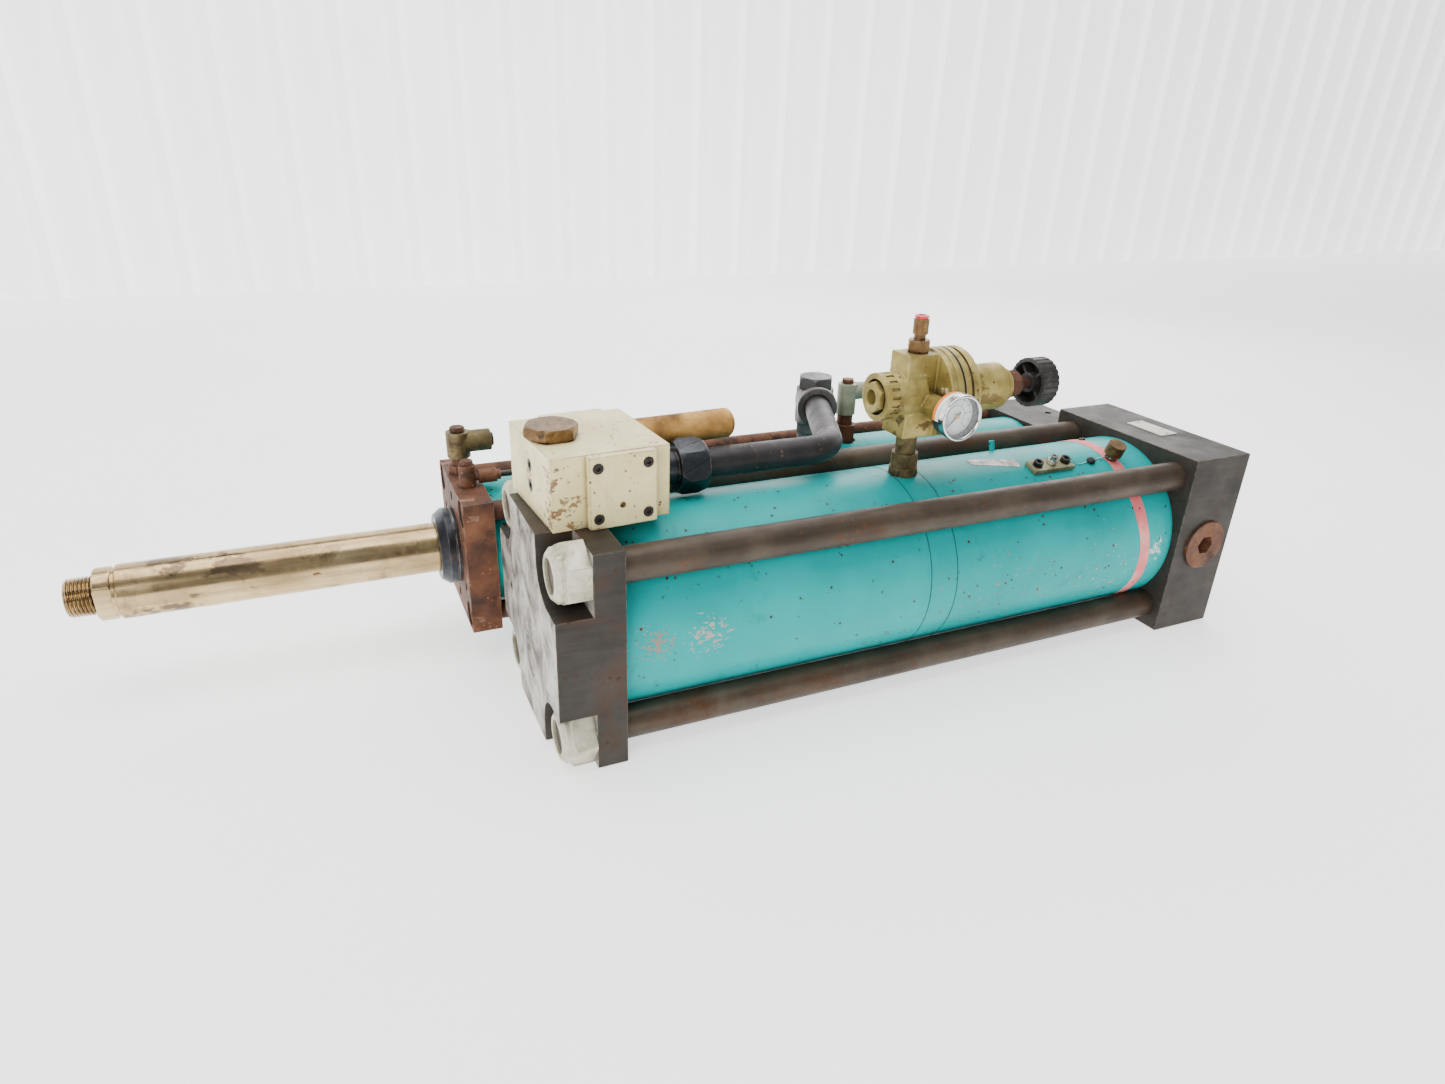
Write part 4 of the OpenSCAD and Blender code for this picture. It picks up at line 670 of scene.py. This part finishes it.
# Profiles are (height, radius) pairs
BEZEL_PROFILE = ((-3.4, 25.0), (-3.4, 25.8), (2.6, 25.9), (3.8, 25.2), (4.2, 24.0), (3.6, 22.6),
                 (1.9, 21.8), (1.9, 22.4), (2.1, 25.0))
DIAL_PROFILE = ((-6.9, 1.4), (-6.4, 1.4), (-6.4, 21.9), (-6.9, 21.9))
LENS_PROFILE = ((0.6, 21.7), (1.5, 21.7), (2.2, 16.0), (2.6, 8.0), (2.7, 0.02))
HUB_PROFILE = ((-6.3, 0.9), (-4.8, 0.9), (-4.8, 2.6), (-3.6, 2.6), (-2.9, 1.9), (-2.7, 0.8))
piece("gauge_bezel", lathe("gauge_bezel", BEZEL_PROFILE, GAUGE_PLACE, 96, loop=True),
      MATERIALS["bright_chrome"], "cylinder", "bright_chrome", sharp=50.0)
piece("gauge_dial", lathe("gauge_dial", DIAL_PROFILE, GAUGE_PLACE, 96, loop=True),
      DIAL_WHITE, "cylinder", "gauge_black")


def dial_mark(bm, angle, inner, outer, width):
    """Thin raised bar on the dial; angle in degrees clockwise from the top."""
    a = math.radians(angle)
    out = Vector((math.sin(a), math.cos(a), 0.0))
    across = Vector((math.cos(a), -math.sin(a), 0.0)) * (width / 2)
    corners = [out * r + across * side for r, side in ((inner, -1), (inner, 1), (outer, 1), (outer, -1))]
    low = [bm.verts.new((GAUGE_PLACE @ (c + Vector((0, 0, -6.5)))) * MM) for c in corners]
    top = [bm.verts.new((GAUGE_PLACE @ (c + Vector((0, 0, -6.28)))) * MM) for c in corners]
    bm.faces.new(low[::-1])
    bm.faces.new(top)
    for i in range(4):
        j = (i + 1) % 4
        bm.faces.new((low[i], low[j], top[j], top[i]))


SCALE_FROM, SCALE_TO, DIVISIONS = -135.0, 135.0, 50
bm = bmesh.new()
for i in range(DIVISIONS + 1):
    angle = SCALE_FROM + (SCALE_TO - SCALE_FROM) * i / DIVISIONS
    long_mark = i % 5 == 0
    dial_mark(bm, angle, 16.6 if long_mark else 18.4, 20.2, 0.7 if long_mark else 0.3)
bmesh.ops.recalc_face_normals(bm, faces=bm.faces)
marks = bpy.data.meshes.new("gauge_marks")
bm.to_mesh(marks)
bm.free()
piece("gauge_marks", marks, DIAL_INK, "cylinder", "gauge_black")

bm = bmesh.new()
ARC_STEPS = 54
for i in range(ARC_STEPS):
    step = (SCALE_TO - SCALE_FROM) / ARC_STEPS
    dial_mark(bm, SCALE_FROM + step * (i + 0.5), 11.0, 11.7, 11.3 * math.radians(step))
bmesh.ops.remove_doubles(bm, verts=bm.verts, dist=0.03 * MM)
bmesh.ops.recalc_face_normals(bm, faces=bm.faces)
arc = bpy.data.meshes.new("gauge_arc")
bm.to_mesh(arc)
bm.free()
piece("gauge_arc", arc, DIAL_BLUE, "cylinder", "gauge_black")

for value in range(0, 11, 2):
    angle = math.radians(SCALE_FROM + (SCALE_TO - SCALE_FROM) * value / 10)
    text = bpy.data.curves.new(f"gauge_number_{value}", "FONT")
    text.body = str(value)
    text.size = 3.6 * GAUGE_SCALE * MM
    text.extrude = 0.1 * MM
    text.align_x = "CENTER"
    text.align_y = "CENTER"
    mesh = baked(bpy.data.objects.new(f"gauge_number_{value}_raw", text))
    spot = GAUGE_PLACE @ Vector((13.9 * math.sin(angle), 13.9 * math.cos(angle), -6.36))
    mesh.transform(Matrix.Translation(spot * MM) @ Matrix.Rotation(math.radians(90), 4, "X"))
    piece(f"gauge_number_{value}", mesh, DIAL_INK, "cylinder", "gauge_black")

glass = bpy.data.materials.new("Gauge glass")
glass.use_nodes = True
glass_shader = glass.node_tree.nodes["Principled BSDF"]
glass_shader.inputs["Base Color"].default_value = (0.95, 0.97, 0.97, 1.0)
glass_shader.inputs["Roughness"].default_value = 0.04
glass_shader.inputs["IOR"].default_value = 1.5
glass_shader.inputs["Alpha"].default_value = 0.08
piece("gauge_lens", lathe("gauge_lens", LENS_PROFILE, GAUGE_PLACE, 72), glass,
      "cylinder", "gauge_black", sharp=60.0)


def case_band(name, low, high, start, end, material):
    """Sticker round the gauge case, from height low to high and angle start to end, degrees from +X."""
    rings = []
    for i in range(41):
        a = math.radians(start + (end - start) * i / 40)
        ring = [GAUGE_PLACE @ Vector((r * math.cos(a), r * math.sin(a), h))
                for r, h in ((24.2, low), (24.9, low), (24.9, high), (24.2, high))]
        rings.append(ring)
    piece(name, skin(name, rings), material, "cylinder", "gauge_black")


case_band("gauge_band_white", -9.4, -3.6, 60.0, 190.0, WHITE_BAND)
case_band("gauge_band_orange", -13.2, -9.4, 60.0, 190.0, ORANGE)


def needle_mesh():
    """Tapered needle with a counterweight, lying at zero on the scale."""
    a = math.radians(SCALE_FROM)
    out = Vector((math.sin(a), math.cos(a), 0.0))
    across = Vector((math.cos(a), -math.sin(a), 0.0))
    outline = ((-6.0, 1.3), (-2.0, 0.9), (0.0, 1.1), (8.0, 0.65), (17.2, 0.18))
    edge = [out * r + across * w for r, w in outline] + [out * r - across * w for r, w in outline[::-1]]
    rings = [[GAUGE_PLACE @ (point + Vector((0, 0, h))) for point in edge] for h in (-4.6, -4.1)]
    return skin("gauge_needle", rings)


needle = piece("gauge_needle", needle_mesh(), DIAL_INK, "pointer", "gauge_black")
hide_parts("gauge_pointer")
piece("gauge_hub", lathe("gauge_hub", HUB_PROFILE, GAUGE_PLACE, 36), HUB_BRASS, "pointer", "gauge_black")

# ---------------------------------------------------------------- stage
floor_mesh = bpy.data.meshes.new("floor")
FLOOR = 6.0
floor_mesh.from_pydata([(-FLOOR, -FLOOR, 0), (FLOOR, -FLOOR, 0), (FLOOR, FLOOR, 0), (-FLOOR, FLOOR, 0)],
                       [], [(0, 1, 2, 3)])
floor = bpy.data.objects.new("floor", floor_mesh)
bpy.context.collection.objects.link(floor)
pale = aged("Pale floor", (rgb(240, 240, 238), rgb(246, 246, 245), rgb(250, 250, 249)), 1.2,
            rough=(0.6, 0.8), bump=(0.02, 80.0))
pale_shader = pale.node_tree.nodes["Principled BSDF"]
pale_shader.inputs["Emission Color"].default_value = (1.0, 1.0, 0.99, 1.0)
pale_shader.inputs["Emission Strength"].default_value = 1.1
floor_mesh.materials.append(pale)
floor.location.z = -0.5 * MM

WALL_Y, WALL_HIGH, RIB = 2.4, 2.6, 0.16
wall_mesh = bpy.data.meshes.new("wall")
bm = bmesh.new()
outline = []
for i in range(-60, 61):
    outline += [(i * RIB, WALL_Y), (i * RIB + 0.012, WALL_Y - 0.02), (i * RIB + 0.04, WALL_Y - 0.02),
                (i * RIB + 0.052, WALL_Y)]
rows = [[bm.verts.new((x, y, z)) for x, y in outline] for z in (-0.01, WALL_HIGH)]
for i in range(len(outline) - 1):
    bm.faces.new((rows[0][i], rows[0][i + 1], rows[1][i + 1], rows[1][i]))
bm.to_mesh(wall_mesh)
bm.free()
wall = bpy.data.objects.new("wall", wall_mesh)
bpy.context.collection.objects.link(wall)
wall_mesh.materials.append(pale)

world = bpy.data.worlds.new("Soft daylight")
bpy.context.scene.world = world
world.use_nodes = True
world.node_tree.nodes["Background"].inputs["Color"].default_value = (0.86, 0.9, 0.95, 1.0)
world.node_tree.nodes["Background"].inputs["Strength"].default_value = 0.5


def softbox(name, at, aim, size, power):
    data = bpy.data.lights.new(name, "AREA")
    data.shape = "RECTANGLE"
    data.size, data.size_y = size
    data.energy = power
    lamp = bpy.data.objects.new(name, data)
    bpy.context.collection.objects.link(lamp)
    lamp.location = Vector(at)
    lamp.rotation_euler = (Vector(aim) - Vector(at)).to_track_quat("-Z", "Y").to_euler()


CENTRE = (0.16, 0.06, 0.12)
softbox("Overhead", (0.2, 0.2, 2.2), CENTRE, (2.6, 1.8), 64.0)
softbox("Front left", (-1.6, -1.7, 1.3), CENTRE, (1.4, 1.2), 46.0)
softbox("Rear right", (1.6, 1.4, 1.2), CENTRE, (1.2, 1.0), 16.0)

# ---------------------------------------------------------------- camera
CAMERA_AT = Vector((-177.02, -707.86, 501.87)) * MM
YAW, PITCH, ROLL = (math.radians(a) for a in (25.144, 24.617, 2.083))
level = Vector((math.sin(YAW), math.cos(YAW), 0.0))
side = Vector((math.cos(YAW), -math.sin(YAW), 0.0))
upright = Vector((0.0, 0.0, 1.0))
forward = level * math.cos(PITCH) - upright * math.sin(PITCH)
lifted = upright * math.cos(PITCH) + level * math.sin(PITCH)
right = side * math.cos(ROLL) + lifted * math.sin(ROLL)
up = lifted * math.cos(ROLL) - side * math.sin(ROLL)
camera_data = bpy.data.cameras.new("Camera")
camera_data.sensor_width = 36.0
camera_data.lens = 22.87
camera_data.clip_start = 0.02
camera = bpy.data.objects.new("Camera", camera_data)
bpy.context.collection.objects.link(camera)
turn = Matrix((right, up, -forward)).transposed()
camera.matrix_world = Matrix.Translation(CAMERA_AT) @ turn.to_4x4()
bpy.context.scene.camera = camera
